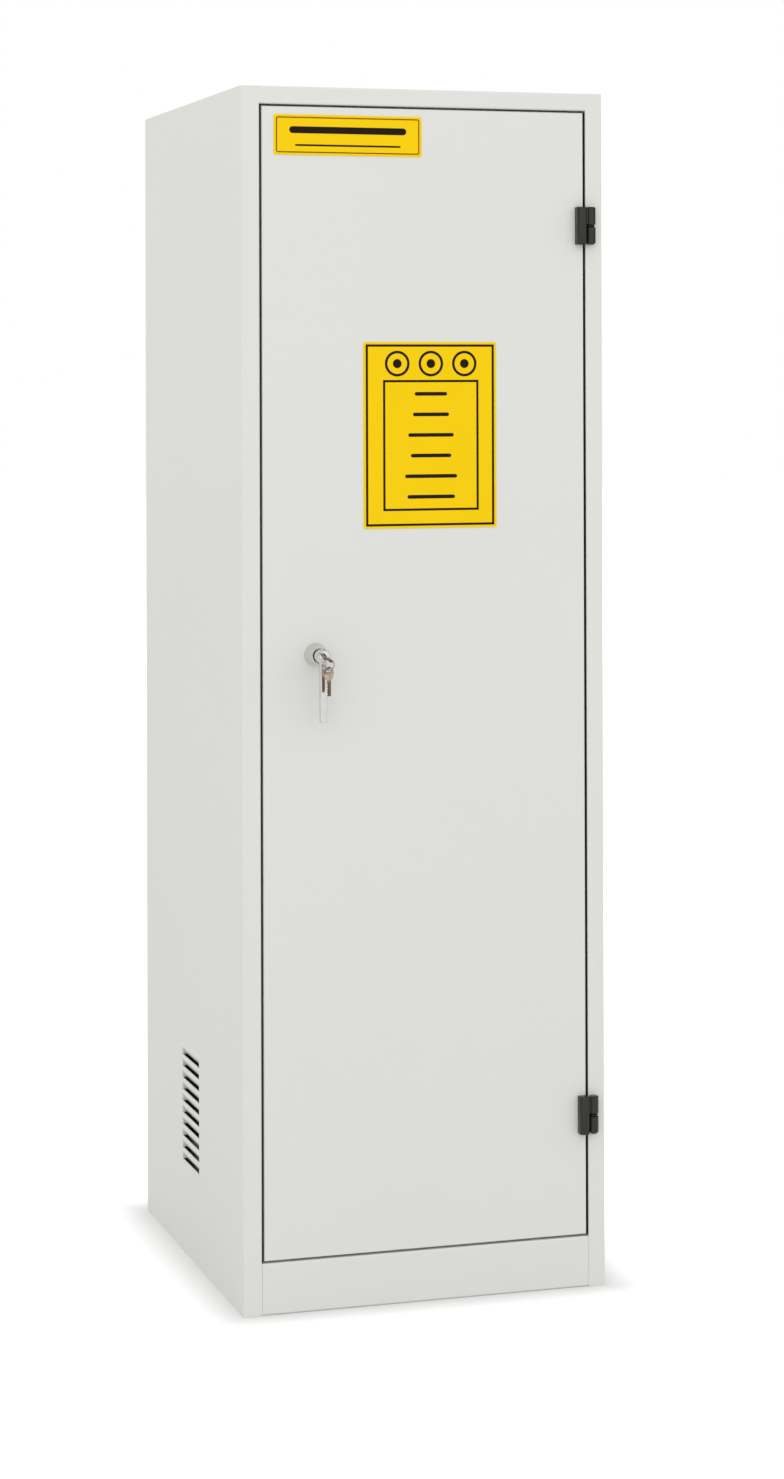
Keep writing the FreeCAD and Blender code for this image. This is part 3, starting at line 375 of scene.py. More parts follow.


# the spare key is mostly brown below the first share of its height, fading to plain nickel by the
# second
BLADE_SHARE = (0.45, 0.6)


def make_finishes():
    """Every finish by its slot's name, with the inks, the darker key in the lock and the ring
    beside them.
    """
    tints = colours()
    low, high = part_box("spare_key")
    blade = [low.z + share * (high.z - low.z) for share in BLADE_SHARE]
    return {
        "body_paint": powder_coat("epoxy_powder_coat", tints.body, 0.45),
        "tray_paint": powder_coat("epoxy_powder_coat_tray", tints.tray, 0.5),
        "black_hinge": powder_coat("black_powder_coat", tints.hinge, 0.3, 0.5),
        "zinc_steel": bright_zinc(),
        "chrome_plate": polished_chrome(),
        "key_metal": key_nickel(
            "nickel_plated_brass", tints.key, tints.key_worn, 0.52, blade),
        "seal_rubber": sponge_rubber(),
        "moulded_nylon": moulded_nylon(),
        "sign_yellow": sign_laminate(),
        "sign_ink": screen_print("sign_ink", tints.ink),
        "border_ink": screen_print("border_ink", tints.border_ink),
        # the key in the lock has more brown patches than the spare key: partly wear, partly painted
        # shade on that key
        "key_with_painted_shade": key_nickel("worn_brass_and_painted_shade", tints.key, tints.key_worn, 0.4),
        "ring_wire": key_nickel("nickel_plated_steel", tints.ring, tints.ring_worn, 0.5),
    }


FINISHES = {}


# ---- Modelling helpers --------------------------------------------------------------
def only(obj):
    """Leaves obj alone selected and active."""
    bpy.ops.object.select_all(action="DESELECT")
    obj.select_set(True)
    bpy.context.view_layer.objects.active = obj


def begin(add, **settings):
    """Adds a primitive, puts its place into its mesh and opens it for editing."""
    bpy.ops.object.select_all(action="DESELECT")
    add(**settings)
    obj = bpy.context.active_object
    bpy.ops.object.transform_apply(location=True, rotation=True, scale=True)
    bpy.ops.object.mode_set(mode="EDIT")
    return obj


def begin_block(low, high):
    """A block between two corners, open for editing."""
    low, high = Vector(low), Vector(high)
    return begin(
        bpy.ops.mesh.primitive_cube_add, size=1, location=(low + high) / 2, scale=high - low)


def close(obj):
    """Ends editing."""
    bpy.ops.object.mode_set(mode="OBJECT")
    only(obj)
    return obj


def choose(obj, wanted, kind="FACE"):
    """Selects just the faces or edges that are wanted."""
    bpy.ops.mesh.select_mode(type=kind)
    bpy.ops.mesh.select_all(action="DESELECT")
    mesh = bmesh.from_edit_mesh(obj.data)
    for item in (mesh.faces if kind == "FACE" else mesh.edges):
        if wanted(item):
            item.select_set(True)
    mesh.select_flush_mode()
    bmesh.update_edit_mesh(obj.data)


def round_edges(width, segments=3):
    bpy.ops.mesh.bevel(offset=width, offset_type="OFFSET", segments=segments, affect="EDGES")


def edge_run(edge):
    return (edge.verts[1].co - edge.verts[0].co).normalized()


def edge_middle(edge):
    return (edge.verts[0].co + edge.verts[1].co) / 2


def on_rim(edge, centre, radius, y):
    """True for an edge of the round rim about the centre's depth axis, at depth y."""
    return all(
        abs(end.co.y - y) < 0.01 * MM
        and abs(math.hypot(end.co.x - centre.x, end.co.z - centre.z) - radius) < 0.02 * MM
        for end in edge.verts)


def tidy_skin():
    """Merges doubles and points every face outwards."""
    bpy.ops.mesh.select_all(action="SELECT")
    bpy.ops.mesh.remove_doubles(threshold=WELD)
    bpy.ops.mesh.normals_make_consistent(inside=False)


def begin_turned(centre, rings, upright=False, capped=False):
    """Shape turned about a depth axis or an upright one, open for editing, from its rings:
    each is a radius and a place along the axis."""
    axis = Vector((0, 0, 1)) if upright else Vector((0, 1, 0))
    foot = centre - axis * centre.dot(axis)
    radius, place = rings[0]
    obj = begin(
        bpy.ops.mesh.primitive_circle_add, vertices=TURNED_SIDES, radius=radius,
        fill_type="NOTHING", location=foot + axis * place,
        rotation=(0, 0, 0) if upright else FACING_FRONT)
    for next_radius, next_place in rings[1:]:
        bpy.ops.mesh.extrude_region_move(
            TRANSFORM_OT_translate={"value": axis * (next_place - place)})
        growth = next_radius / radius
        bpy.ops.transform.resize(
            value=(growth, growth, 1) if upright else (growth, 1, growth),
            center_override=foot + axis * next_place)
        radius, place = next_radius, next_place
    if capped:
        bpy.ops.mesh.select_all(action="SELECT")
        bpy.ops.mesh.fill_holes(sides=0)
    tidy_skin()
    return obj


def settle(obj, name, slot, body, nodes=(), finish=None):
    """Names a finished piece, smooths it, gives it its finish and lets it ride."""
    only(obj)
    bpy.ops.object.shade_smooth_by_angle(angle=SMOOTH_ANGLE)
    obj.name = name
    obj.data.name = name
    obj.data.materials.clear()
    obj.data.materials.append(FINISHES[finish or slot])
    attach(obj, body)
    if nodes:
        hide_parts(*nodes)
    return obj


def apply_modifier(obj, kind, **settings):
    only(obj)
    made = obj.modifiers.new(kind.title(), kind)
    for name, value in settings.items():
        setattr(made, name, value)
    bpy.ops.object.modifier_apply(modifier=made.name)
    return obj


def combined(obj, other, operation):
    """Joins another piece to obj, or cuts it out, and removes that piece."""
    apply_modifier(obj, "BOOLEAN", operation=operation, solver="EXACT", object=other)
    bpy.data.objects.remove(other)
    return obj


def joined(objects):
    """Puts separate pieces into one object."""
    only(objects[0])
    for obj in objects:
        obj.select_set(True)
    bpy.ops.object.join()
    return bpy.context.active_object


def eased(node, name, width=0.0, finish=None):
    """A merged copy of a CAD piece with smooth folds and eased edges, standing in for its node."""
    source = frame["nodes"][node]
    obj = bpy.data.objects.new(name, source.data.copy())
    bpy.context.scene.collection.objects.link(obj)
    only(obj)
    bpy.ops.object.mode_set(mode="EDIT")
    bpy.ops.mesh.select_all(action="SELECT")
    bpy.ops.mesh.remove_doubles(threshold=WELD)
    bpy.ops.mesh.dissolve_limited(angle_limit=FLAT_ANGLE)
    close(obj)
    if width:
        apply_modifier(obj, "BEVEL", width=width, segments=2, limit_method="ANGLE",
                       angle_limit=EASED_ANGLE)
    return settle(obj, name, NODE_SLOTS[node], source["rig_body"], [node], finish)


NODE_SLOTS = {
    name: obj.material_slots[0].material.name.split(".")[0]
    for name, obj in frame["nodes"].items()
}


# ---- Pieces -------------------------------------------------------------------------
class CABINET_OT_finishes(bpy.types.Operator):
    """Gives every piece of the cabinet its real finish"""
    bl_idname = "cabinet.finishes"
    bl_label = "Finishes"

    def execute(self, context):
        FINISHES.update(make_finishes())
        for name, obj in frame["nodes"].items():
            obj.data.materials.clear()
            obj.data.materials.append(FINISHES[NODE_SLOTS[name]])
        return {"FINISHED"}


class CABINET_OT_sheet_metal(bpy.types.Operator):
    """Smooths the folds of the visible sheet metal"""
    bl_idname = "cabinet.sheet_metal"
    bl_label = "Sheet metal"

    def execute(self, context):
        for node in ("left_side_panel", "right_side_panel", "top_panel", "plinth_rail",
                     "door_skin", "exhaust_collar"):
            panel = eased(node, node + "_folded")
            apply_modifier(panel, "WEIGHTED_NORMAL", keep_sharp=True, weight=80)
        return {"FINISHED"}


def raised(obj, depth):
    """Gives flat printed faces their thickness, as one closed skin, and ends editing."""
    tidy_skin()
    close(obj)
    return apply_modifier(obj, "SOLIDIFY", thickness=depth, offset=0.0)


def ring_line(obj, line, depth):
    """Turns an open flat face into a line round its edge."""
    bpy.ops.mesh.select_all(action="SELECT")
    bpy.ops.mesh.inset(thickness=line, use_even_offset=True)
    bpy.ops.mesh.delete(type="FACE")
    return raised(obj, depth)


def printed_frame(low, high, line, depth, corner=0.0):
    """Line round a rectangle that faces the front."""
    low, high = Vector(low), Vector(high)
    centre = (low + high) / 2
    obj = begin(bpy.ops.mesh.primitive_plane_add, size=1, location=centre, rotation=FACING_FRONT)
    bpy.ops.transform.resize(value=(high.x - low.x, 1, high.z - low.z), center_override=centre)
    if corner:
        bpy.ops.mesh.bevel(offset=corner, segments=5, affect="VERTICES")
    return ring_line(obj, line, depth)


def printed_ring(centre, radius, line, depth):
    """Line round a disc that faces the front."""
    obj = begin(bpy.ops.mesh.primitive_circle_add, vertices=RIM_SIDES, radius=radius,
                fill_type="NGON", location=centre, rotation=FACING_FRONT)
    return ring_line(obj, line, depth)


def printed_rule(low, high, line, depth):
    """Straight line with round ends, from low to high along the width."""
    low, high = Vector(low), Vector(high)
    centre = (low + high) / 2
    obj = begin(bpy.ops.mesh.primitive_plane_add, size=1, location=centre, rotation=FACING_FRONT)
    bpy.ops.transform.resize(value=(high.x - low.x, 1, line), center_override=centre)
    bpy.ops.mesh.bevel(offset=0.49 * line, segments=4, affect="VERTICES")
    return raised(obj, depth)


def printed_dot(centre, radius, depth):
    """Solid disc that faces the front."""
    return raised(begin(bpy.ops.mesh.primitive_circle_add, vertices=DOT_SIDES, radius=radius,
                        fill_type="NGON", location=centre, rotation=FACING_FRONT), depth)


# the sign's inner frame and its row of marks, as shares of the plate, and the space between marks
FRAME_ACROSS = (0.146, 0.865)
FRAME_UP = (0.094, 0.796)
MARKS_UP = 0.884
MARK_PITCH = 46.5 * MM
BAR_LENGTHS = (45 * MM, 50 * MM, 63 * MM, 56 * MM, 72 * MM, 66 * MM)


def bordered(node, line, inset, depth, corner=0.0):
    """Line round a door plate, set in from its edge."""
    low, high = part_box(node)
    y = low.y - depth / 2
    margin = Vector((inset, 0, inset))
    return printed_frame(Vector((low.x, y, low.z)) + margin,
                         Vector((high.x, y, high.z)) - margin, line, depth, corner)


class CABINET_OT_sign_print(bpy.types.Operator):
    """Prints two frames, plain marks and plain bars on the door's sign"""
    bl_idname = "cabinet.sign_print"
    bl_label = "Sign print"

    def execute(self, context):
        size = sizes()
        low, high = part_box("sign_plate")
        y = low.y - size.ink / 2
        width, height = high.x - low.x, high.z - low.z
        left, right = [low.x + share * width for share in FRAME_ACROSS]
        bottom, top = [low.z + share * height for share in FRAME_UP]
        middle = (left + right) / 2
        lines = [
            bordered("sign_plate", size.sign_line, size.sign_margin, size.ink),
            printed_frame((left, y, bottom), (right, y, top), size.sign_line, size.ink),
        ]
        for index in (-1, 0, 1):
            place = (middle + index * MARK_PITCH, y, low.z + MARKS_UP * height)
            lines.append(printed_ring(place, size.mark_size / 2, size.mark_line, size.ink))
            lines.append(printed_dot(place, size.mark_dot, size.ink))
        z = (bottom + top + size.bar_pitch * (len(BAR_LENGTHS) - 1)) / 2
        for span in BAR_LENGTHS:
            lines.append(printed_rule((middle - span / 2, y, z), (middle + span / 2, y, z),
                                      size.bar, size.ink))
            z -= size.bar_pitch
        settle(joined(lines), "sign_print", "sign_yellow", "door_body", finish="sign_ink")
        return {"FINISHED"}


# half the length of each of the name plate's bars, and its height above the plate's foot
NAME_BARS = ((80 * MM, 33 * MM), (72 * MM, 13 * MM))


class CABINET_OT_name_print(bpy.types.Operator):
    """Prints a border and two plain bars on the name plate"""
    bl_idname = "cabinet.name_print"
    bl_label = "Name plate print"

    def execute(self, context):
        size = sizes()
        low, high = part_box("name_plate")
        y = low.y - size.ink / 2
        border = bordered(
            "name_plate", size.name_line, size.name_margin, size.ink, size.name_corner)
        settle(border, "name_border", "sign_yellow", "door_body", finish="border_ink")
        middle = (low.x + high.x) / 2
        rules = [
            printed_rule((middle - half, y, low.z + up), (middle + half, y, low.z + up), line,
                         size.ink)
            for (half, up), line in zip(NAME_BARS, (size.name_bar, size.bar / 2))
        ]
        settle(joined(rules), "name_bars", "sign_yellow", "door_body", finish="sign_ink")
        return {"FINISHED"}


TURNING_PLAY = 0.08 * MM      # round the journal in the boss
BARREL_CHAMFER = 0.8 * MM
RIM_ROUNDING = 0.35 * MM
HUB_SEAT = 0.3 * MM           # how far the hub stands off the floor of the boss's recess
LEVER_HALF_WIDTH = 5 * MM
LEVER_TAPER = 0.92            # the lever's width at its foot, as a share of its width at the hub
CUT_PAST = 5 * MM             # how far a cutter starts outside what it cuts


def handle_axis():
    """A point on the handle's turning axis."""
    low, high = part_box("handle_boss")
    return (low + high) / 2


class CABINET_OT_boss(bpy.types.Operator):
    """Turns the tapered boss with its recess, bore and threaded barrel"""
    bl_idname = "cabinet.boss"
    bl_label = "Handle boss"

    def execute(self, context):
        size = sizes()
        low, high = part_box("handle_boss")
        centre = handle_axis()
        base = (high.x - low.x) / 2
        door_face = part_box("door_skin")[0].y
        bore = size.journal + TURNING_PLAY
        lip = size.boss_front - size.boss_rim
        floor = low.y + size.boss_recess
        obj = begin_turned(centre, [
            (bore, high.y), (size.barrel - BARREL_CHAMFER, high.y),
            (size.barrel, high.y - BARREL_CHAMFER), (size.barrel, door_face), (base, door_face),
            (size.boss_front, low.y), (lip, low.y), (lip, floor), (bore, floor), (bore, high.y)])
        choose(obj, lambda edge: on_rim(edge, centre, size.boss_front, low.y)
               or on_rim(edge, centre, lip, low.y), "EDGE")
        round_edges(RIM_ROUNDING, 3)
        settle(close(obj), "turned_boss", "chrome_plate", "door_body", ["handle_boss"])
        return {"FINISHED"}


class CABINET_OT_lever(bpy.types.Operator):
    """Casts the hub, its journal and the hanging lever in one"""
    bl_idname = "cabinet.lever"
    bl_label = "Handle lever"

    def execute(self, context):
        size = sizes()
        low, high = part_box("handle_lever")
        centre = handle_axis()
        radius = high.z - centre.z
        door_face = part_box("door_skin")[0].y
        hub_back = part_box("handle_boss")[0].y + size.boss_recess - HUB_SEAT
        hub = begin_turned(centre, [
            (radius, low.y), (radius, hub_back), (size.journal, hub_back),
            (size.journal, door_face + size.journal_tail)], capped=True)
        choose(hub, lambda edge: on_rim(edge, centre, radius, low.y), "EDGE")
        round_edges(size.hub_edge, 4)
        close(hub)
        arm = begin_block((centre.x - LEVER_HALF_WIDTH, low.y, low.z),
                          (centre.x + LEVER_HALF_WIDTH, low.y + size.lever_thickness, centre.z))
        choose(arm, lambda face: face.normal.z < -0.9)
        bpy.ops.transform.resize(
            value=(LEVER_TAPER, 1, 1), center_override=(centre.x, low.y, low.z))
        choose(arm, lambda edge: edge_middle(edge).z < centre.z - MM, "EDGE")
        round_edges(size.lever_edge, 4)
        combined(hub, close(arm), "UNION")
        bore = close(begin_turned(centre, [
            (size.plug_bore, low.y - CUT_PAST), (size.plug_bore, low.y + size.plug_depth)],
            capped=True))
        settle(combined(hub, bore, "DIFFERENCE"), "cast_lever", "chrome_plate", "handle_body",
               ["handle_lever"])
        return {"FINISHED"}


LOCK_EASING = 0.15 * MM


class CABINET_OT_lock_and_keys(bpy.types.Operator):
    """Eases the edges of the lock and of both keys"""
    bl_idname = "cabinet.lock_and_keys"
    bl_label = "Lock and keys"

    def execute(self, context):
        eased("lock_plug", "lock_barrel", LOCK_EASING)
        # the key in the lock takes the darker copy of the key nickel, partly painted shade
        eased("key", "key_in_lock", sizes().key_edge, "key_with_painted_shade")
        eased("spare_key", "hanging_key", sizes().key_edge)
        return {"FINISHED"}


RING_TURNS = 2
WIRE_SIDES = 20
RING_STEPS = 128      # along both turns


class CABINET_OT_split_ring(bpy.types.Operator):
    """Winds the split ring: two turns of flattened wire, side by side, with closed ends"""
    bl_idname = "cabinet.split_ring"
    bl_label = "Split ring"

    def execute(self, context):
        low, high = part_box("key_ring")
        centre = (low + high) / 2
        thick = high.y - low.y
        turn = thick / (RING_TURNS + 1)   # two turns climb by two wires and are one wire thick
        radius = (high.x - low.x - thick) / 2
        obj = begin(bpy.ops.mesh.primitive_circle_add, vertices=WIRE_SIDES, radius=turn / 2,
                    fill_type="NOTHING", location=(radius, 0, 0), rotation=FACING_FRONT)
        bpy.ops.transform.resize(value=(thick / turn, 1, 1), center_override=(radius, 0, 0))
        close(obj)
        apply_modifier(obj, "SCREW", axis="Z", angle=2 * math.pi * RING_TURNS,
                       screw_offset=RING_TURNS * turn, steps=RING_STEPS, render_steps=RING_STEPS)
        obj.rotation_euler = FACING_FRONT
        obj.location = centre + Vector((0, turn, 0))
        only(obj)
        bpy.ops.object.transform_apply(location=True, rotation=True, scale=True)
        bpy.ops.object.mode_set(mode="EDIT")
        bpy.ops.mesh.select_all(action="SELECT")
        bpy.ops.mesh.fill_holes(sides=0)
        tidy_skin()
        settle(close(obj), "split_ring", "chrome_plate", "ring_body", ["key_ring"], "ring_wire")
        return {"FINISHED"}


BLOCK_GAP = 0.8 * MM        # between the hinge's block and its knuckles
BLOCK_ROUNDING = 3 * MM     # the block's edge beside the knuckles
WEB_ROOT = 3 * MM           # how deep the web runs into the block and behind its face
WEB_PLAY = 0.5 * MM         # webs stop this far short of the pin's bore and the stile
KNUCKLE_PLAY = 0.1 * MM     # from the knuckles' middle to the upper one
KNUCKLE_CHAMFER = 1 * MM    # at the head of the upper knuckle
SEAL_ROUNDING = 0.8 * MM


def front_edge(edge, depth):
    """True for an edge whose middle is in front of depth."""
    return edge_middle(edge).y < depth


def runs_up(edge):
    return abs(edge_run(edge).z) > 0.9


class CABINET_OT_hinges(bpy.types.Operator):
    """Builds both hinges: block and upper knuckle on the door, lower knuckle on the stile"""
    bl_idname = "cabinet.hinges"
    bl_label = "Hinges"

    def execute(self, context):
        for name in ("upper", "lower"):
            self.build(name)
        return {"FINISHED"}

    def build(self, name):
        size = sizes()
        door_node, frame_node = name + "_hinge_door_leaf", name + "_hinge_frame_leaf"
        low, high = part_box(door_node)
        foot_low, foot_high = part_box(frame_node)
        radius = (foot_high.x - foot_low.x) / 2
        axis = Vector(((foot_low.x + foot_high.x) / 2, foot_low.y + radius, 0))
        split = (low.z + high.z) / 2
        pin = size.pin_length / 2
        block_right = axis.x - radius - BLOCK_GAP

        block = begin_block(low, (block_right, high.y, high.z))
        choose(block, lambda edge: runs_up(edge) and front_edge(edge, low.y + MM)
               and edge_middle(edge).x < low.x + MM, "EDGE")
        round_edges(size.hinge_crown, 8)
        choose(block, lambda edge: runs_up(edge) and front_edge(edge, low.y + MM)
               and edge_middle(edge).x > block_right - MM, "EDGE")
        round_edges(BLOCK_ROUNDING, 6)
        choose(block, lambda edge: abs(edge_run(edge).z) < 0.1
               and front_edge(edge, high.y - MM), "EDGE")
        round_edges(size.hinge_edge, 2)
        close(block)
        start = split + KNUCKLE_PLAY
        web = close(begin_block(
            (block_right - WEB_ROOT, low.y + WEB_ROOT, start + size.knuckle_notch),
            (axis.x - size.pin_bore - WEB_PLAY, high.y - WEB_PLAY, high.z - KNUCKLE_CHAMFER)))
        knuckle = close(begin_turned(axis, [
            (size.pin_bore, split + pin), (size.pin_bore, start),
            (radius - size.knuckle_notch, start), (radius, start + size.knuckle_notch),
            (radius, high.z - KNUCKLE_CHAMFER), (radius - KNUCKLE_CHAMFER, high.z)],
            upright=True, capped=True))
        combined(block, web, "UNION")
        settle(combined(block, knuckle, "UNION"), name + "_door_hinge", "black_hinge", "door_body",
               [door_node])

        knuckle = close(begin_turned(axis, [
            (size.pin_bore, split - pin), (size.pin_bore, foot_high.z),
            (radius - size.knuckle_notch, foot_high.z), (radius, foot_high.z - size.knuckle_notch),
            (radius, foot_low.z + size.knuckle_foot), (radius - size.knuckle_foot, foot_low.z)],
            upright=True, capped=True))
        foot = close(begin_block(
            (foot_low.x, axis.y + size.pin_bore + WEB_PLAY, foot_low.z + size.knuckle_foot),
            (foot_high.x, foot_high.y, foot_high.z - size.knuckle_notch)))
        settle(combined(knuckle, foot, "UNION"), name + "_frame_hinge", "black_hinge",
               "cabinet_body", [frame_node])


class CABINET_OT_door_seals(bpy.types.Operator):
    """Lays both upright door seals: a pad behind the door, and a dark lip lining the gap beside it
    as painted shade.
    """
    bl_idname = "cabinet.door_seals"
    bl_label = "Door seals"

    def execute(self, context):
        size = sizes()
        door_low, door_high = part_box("door_skin")
        front = door_low.y + size.seal_setback
        left, right = door_low.x - size.seal_gap, door_high.x + size.seal_gap
        for name, shade_lip_low, shade_lip_high in (("left", left, left + size.seal_lip),
                                        ("right", right - size.seal_lip, right)):
            node = name + "_seal_strip"
            low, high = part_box(node)
            pad = begin_block((min(low.x, shade_lip_low), low.y, low.z),
                              (max(high.x, shade_lip_high), high.y, high.z))
            choose(pad, lambda edge: front_edge(edge, low.y + 0.01 * MM), "EDGE")
            round_edges(SEAL_ROUNDING, 3)
            close(pad)
            # the lip is a dark sheet put in the gap beside the door, as painted shade there
            lip = close(begin_block((shade_lip_low, front, low.z), (shade_lip_high, high.y, high.z)))
            settle(combined(pad, lip, "UNION"), name + "_door_seal", "seal_rubber",
                   "cabinet_body", [node])
        return {"FINISHED"}


# ---- Studio -------------------------------------------------------------------------
IMAGE_WIDTH, IMAGE_HEIGHT = 784, 1479
FOCAL_PIXELS = 3230.54
OPTICAL_CENTRE = (424.318, 357.682)
CAMERA_PLACE = (-1.27357, -4.33782, 1.21485)
CAMERA_RIGHT = (0.95462687, -0.29778979, -0.00296198)
CAMERA_DOWN = (-0.00070697, 0.00767994, -0.99997026)
CAMERA_FORWARD = (0.29780368, 0.95460058, 0.00712095)
SENSOR = 36.0
FLOOR_SIZE = 60
FLOOR_DROP = 0.2 * MM      # keeps the floor's face clear of the cabinet's underside
FLOOR_GLOW_AND_PAINTED_SHADOW = (0.13, 0.73)  # what the floor adds for the camera: low at the cabinet's foot as a painted shadow, full beyond
MIRRORED_GLOW = 0.22       # the share of that glow that mirrors see
PAINTED_SHADOW_REACH = 0.10        # width of the painted shadow round the cabinet's foot, where the floor's glow fades
AIR_LIGHT = 0.96           # light from all round
DIM_LIGHT = 0.08           # how bright the air beside and above the cabinet is, in mirrors
DIM_SIDES = (0.25, 0.75)   # how far along the depth a mirror looks where that ends, and is white
LAMPS = (                  # name, place, aim, width and watts
    ("front_softbox", (-0.9, -4.8, 2.6), (0, 0, 1.0), 5.0, 47),
    ("side_softbox", (-4.5, 1.2, 2.6), (0, 0, 1.0), 3.0, 14),
)


class CABINET_OT_studio(bpy.types.Operator):
    """Sets the pale floor, the soft light and the camera"""
    bl_idname = "cabinet.studio"
    bl_label = "Studio"

    def execute(self, context):
        self.lay_floor()
        self.light_air()
        self.hang_lamps()
        self.place_camera()
        context.scene.view_settings.view_transform = "Standard"
        return {"FINISHED"}

    def lay_floor(self):
        """Matt pale floor, lifted to white by its glow, which fades towards the cabinet's foot as a
        painted shadow.
        """
        begin(bpy.ops.mesh.primitive_plane_add, size=FLOOR_SIZE, location=(0, 0, -FLOOR_DROP))
        floor = close(bpy.context.active_object)
        floor.name = "studio_floor"
        made, tree, place = blank_finish("matt_floor_paint")
        centre = (cad_low + cad_high) / 2
        half = (cad_high - cad_low) / 2
        near, far = [corner.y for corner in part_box("left_side_panel")]
        offset = add_node(tree, "ShaderNodeVectorMath", {
            0: place, 1: (centre.x, (near + far) / 2, 0)}, operation="SUBTRACT")
        folded = add_node(tree, "ShaderNodeVectorMath", {
            0: offset.outputs[0]}, operation="ABSOLUTE")
        past = add_node(tree, "ShaderNodeVectorMath", {
            0: folded.outputs[0], 1: (half.x, (far - near) / 2, 0)}, operation="SUBTRACT")
        outside = add_node(tree, "ShaderNodeVectorMath", {
            0: past.outputs[0], 1: (0, 0, 0)}, operation="MAXIMUM")
        distance = add_node(tree, "ShaderNodeVectorMath", {
            0: outside.outputs[0]}, operation="LENGTH")
        # the glow fades near the cabinet's footprint: a painted shadow at its foot, not one cast by
        # the lamps
        glow = add_node(tree, "ShaderNodeMapRange", {
            "Value": distance.outputs["Value"], "From Max": PAINTED_SHADOW_REACH,
            "To Min": FLOOR_GLOW_AND_PAINTED_SHADOW[0], "To Max": FLOOR_GLOW_AND_PAINTED_SHADOW[1]})
        path = add_node(tree, "ShaderNodeLightPath")
        seen = add_node(tree, "ShaderNodeMath", {
            0: path.outputs["Is Glossy Ray"], 1: MIRRORED_GLOW,
            2: path.outputs["Is Camera Ray"]}, operation="MULTIPLY_ADD")
        strength = add_node(tree, "ShaderNodeMath", {
            0: glow.outputs["Result"], 1: seen.outputs[0]}, operation="MULTIPLY")
        matt = add_node(tree, "ShaderNodeBsdfDiffuse", {"Color": shade(colours().floor, 1.0)})
        lift = add_node(tree, "ShaderNodeEmission", {
            "Color": (1, 1, 1, 1), "Strength": strength.outputs[0]})
        lit = add_node(tree, "ShaderNodeAddShader", {0: matt.outputs[0], 1: lift.outputs[0]})
        add_node(tree, "ShaderNodeOutputMaterial", {"Surface": lit.outputs[0]})
        floor.data.materials.append(made)

    def light_air(self):
        """Even light from all round. Mirrors see it white before and behind, and dim elsewhere."""
        world = bpy.data.worlds.new("studio_air")
        world.use_nodes = True
        tree = world.node_tree
        tree.nodes.clear()
        path = add_node(tree, "ShaderNodeLightPath")
        straight = add_node(tree, "ShaderNodeMath", {
            0: path.outputs["Is Camera Ray"], 1: path.outputs["Is Transmission Ray"]},
            operation="MAXIMUM")
        even = add_node(tree, "ShaderNodeMapRange", {
            "Value": straight.outputs[0], "To Min": AIR_LIGHT, "To Max": 1.0})
        way = add_node(tree, "ShaderNodeTexCoord").outputs["Generated"]
        along = add_node(tree, "ShaderNodeSeparateXYZ", {"Vector": way}).outputs["Y"]
        depth = add_node(tree, "ShaderNodeMath", {0: along}, operation="ABSOLUTE").outputs[0]
        mirrored = add_node(tree, "ShaderNodeMapRange", {
            "Value": depth, "From Min": DIM_SIDES[0], "From Max": DIM_SIDES[1],
            "To Min": DIM_LIGHT, "To Max": 1.0})
        strength = add_node(tree, "ShaderNodeMix", {
            "Factor": path.outputs["Is Glossy Ray"], "A": even.outputs["Result"],
            "B": mirrored.outputs["Result"]})
        back = add_node(tree, "ShaderNodeBackground", {
            "Color": (1, 1, 1, 1), "Strength": strength.outputs["Result"]})
        add_node(tree, "ShaderNodeOutputWorld", {"Surface": back.outputs[0]})
        bpy.context.scene.world = world

    def hang_lamps(self):
        """Soft lamps that light the paint and stay out of the mirrors."""
        for name, place, aim, width, watts in LAMPS:
            bpy.ops.object.light_add(type="AREA", location=place)
            lamp = bpy.context.active_object
            lamp.name = name
            lamp.data.shape = "SQUARE"
            lamp.data.size = width
            lamp.data.energy = watts
            lamp.visible_glossy = False
            lamp.rotation_euler = (Vector(aim) - Vector(place)).to_track_quat("-Z", "Y").to_euler()

    def place_camera(self):
        data = bpy.data.cameras.new("studio_camera")
        camera = bpy.data.objects.new("studio_camera", data)
        bpy.context.scene.collection.objects.link(camera)
        data.sensor_width = SENSOR
        data.sensor_fit = "AUTO"
        data.lens = FOCAL_PIXELS / IMAGE_HEIGHT * SENSOR
        data.shift_x = (IMAGE_WIDTH / 2 - OPTICAL_CENTRE[0]) / IMAGE_HEIGHT
        data.shift_y = (OPTICAL_CENTRE[1] - IMAGE_HEIGHT / 2) / IMAGE_HEIGHT
        data.clip_end = 200
        turn = Matrix((CAMERA_RIGHT, -Vector(CAMERA_DOWN), -Vector(CAMERA_FORWARD))).transposed()
        camera.matrix_world = Matrix.Translation(CAMERA_PLACE) @ turn.to_4x4()
        bpy.context.scene.camera = camera


# ---- Panel, registration and run ----------------------------------------------------
OPERATORS = (
    CABINET_OT_finishes, CABINET_OT_sheet_metal, CABINET_OT_sign_print, CABINET_OT_name_print,
    CABINET_OT_boss, CABINET_OT_lever, CABINET_OT_lock_and_keys, CABINET_OT_split_ring,
    CABINET_OT_hinges, CABINET_OT_door_seals, CABINET_OT_studio,
)


class CABINET_PT_panel(bpy.types.Panel):
    """Lists the cabinet's pieces in the order in which they are made"""
    bl_idname = "CABINET_PT_panel"
    bl_label = "Cabinet"
    bl_space_type = "VIEW_3D"
    bl_region_type = "UI"
    bl_category = "Cabinet"

    def draw(self, context):
        for operator in OPERATORS:
            self.layout.operator(operator.bl_idname)
        for group in (context.scene.cabinet_sizes, context.scene.cabinet_colours):
            for name in group.bl_rna.properties.keys():
                if name not in ("rna_type", "name"):
                    self.layout.prop(group, name)


CLASSES = (CabinetSizes, CabinetColours, *OPERATORS, CABINET_PT_panel)


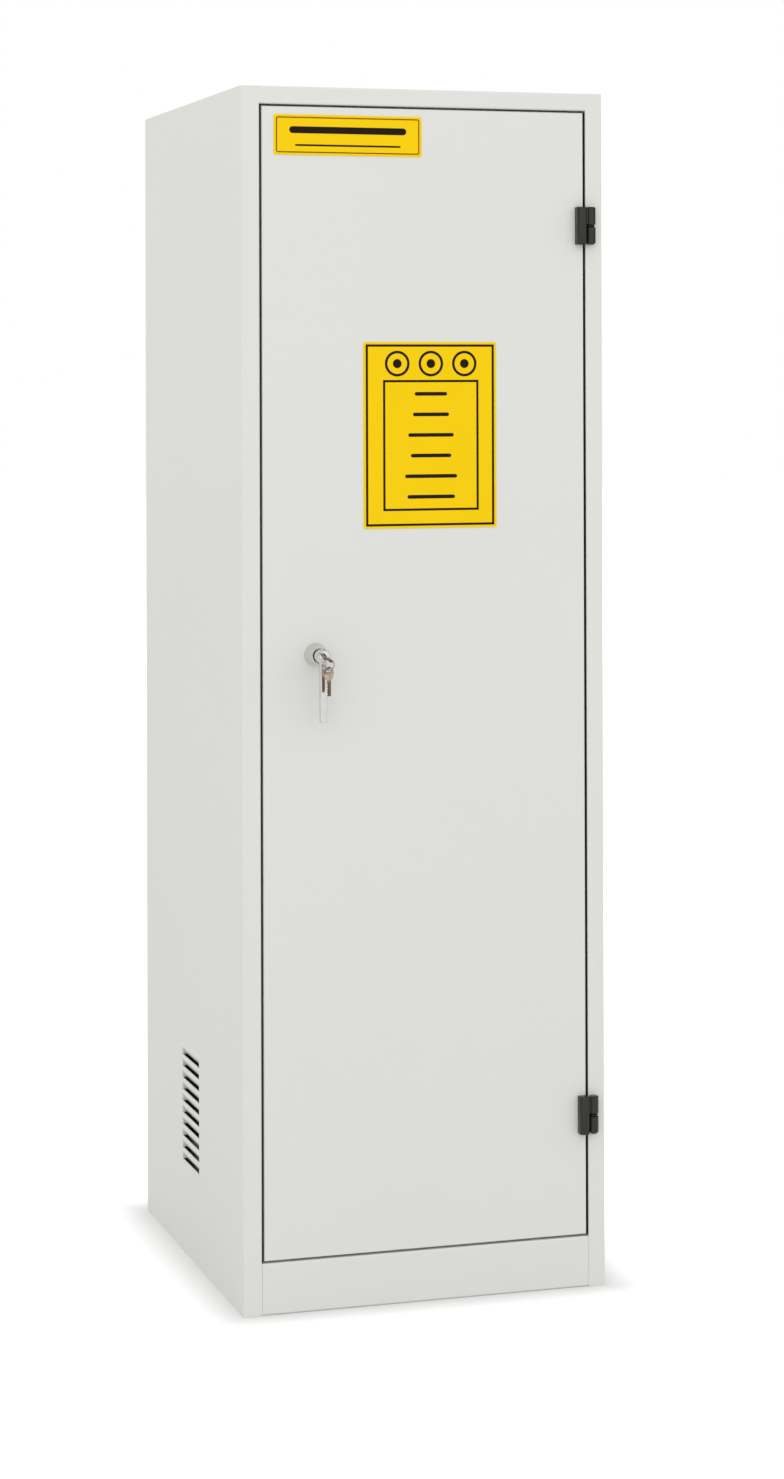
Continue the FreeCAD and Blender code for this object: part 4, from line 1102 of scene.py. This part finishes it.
def register():
    for entry in CLASSES:
        bpy.utils.register_class(entry)
    bpy.types.Scene.cabinet_sizes = bpy.props.PointerProperty(type=CabinetSizes)
    bpy.types.Scene.cabinet_colours = bpy.props.PointerProperty(type=CabinetColours)


def unregister():
    del bpy.types.Scene.cabinet_colours
    del bpy.types.Scene.cabinet_sizes
    for entry in reversed(CLASSES):
        bpy.utils.unregister_class(entry)


def main():
    register()
    for operator in OPERATORS:
        group, name = operator.bl_idname.split(".")
        getattr(getattr(bpy.ops, group), name)()


if __name__ == "__main__":
    main()
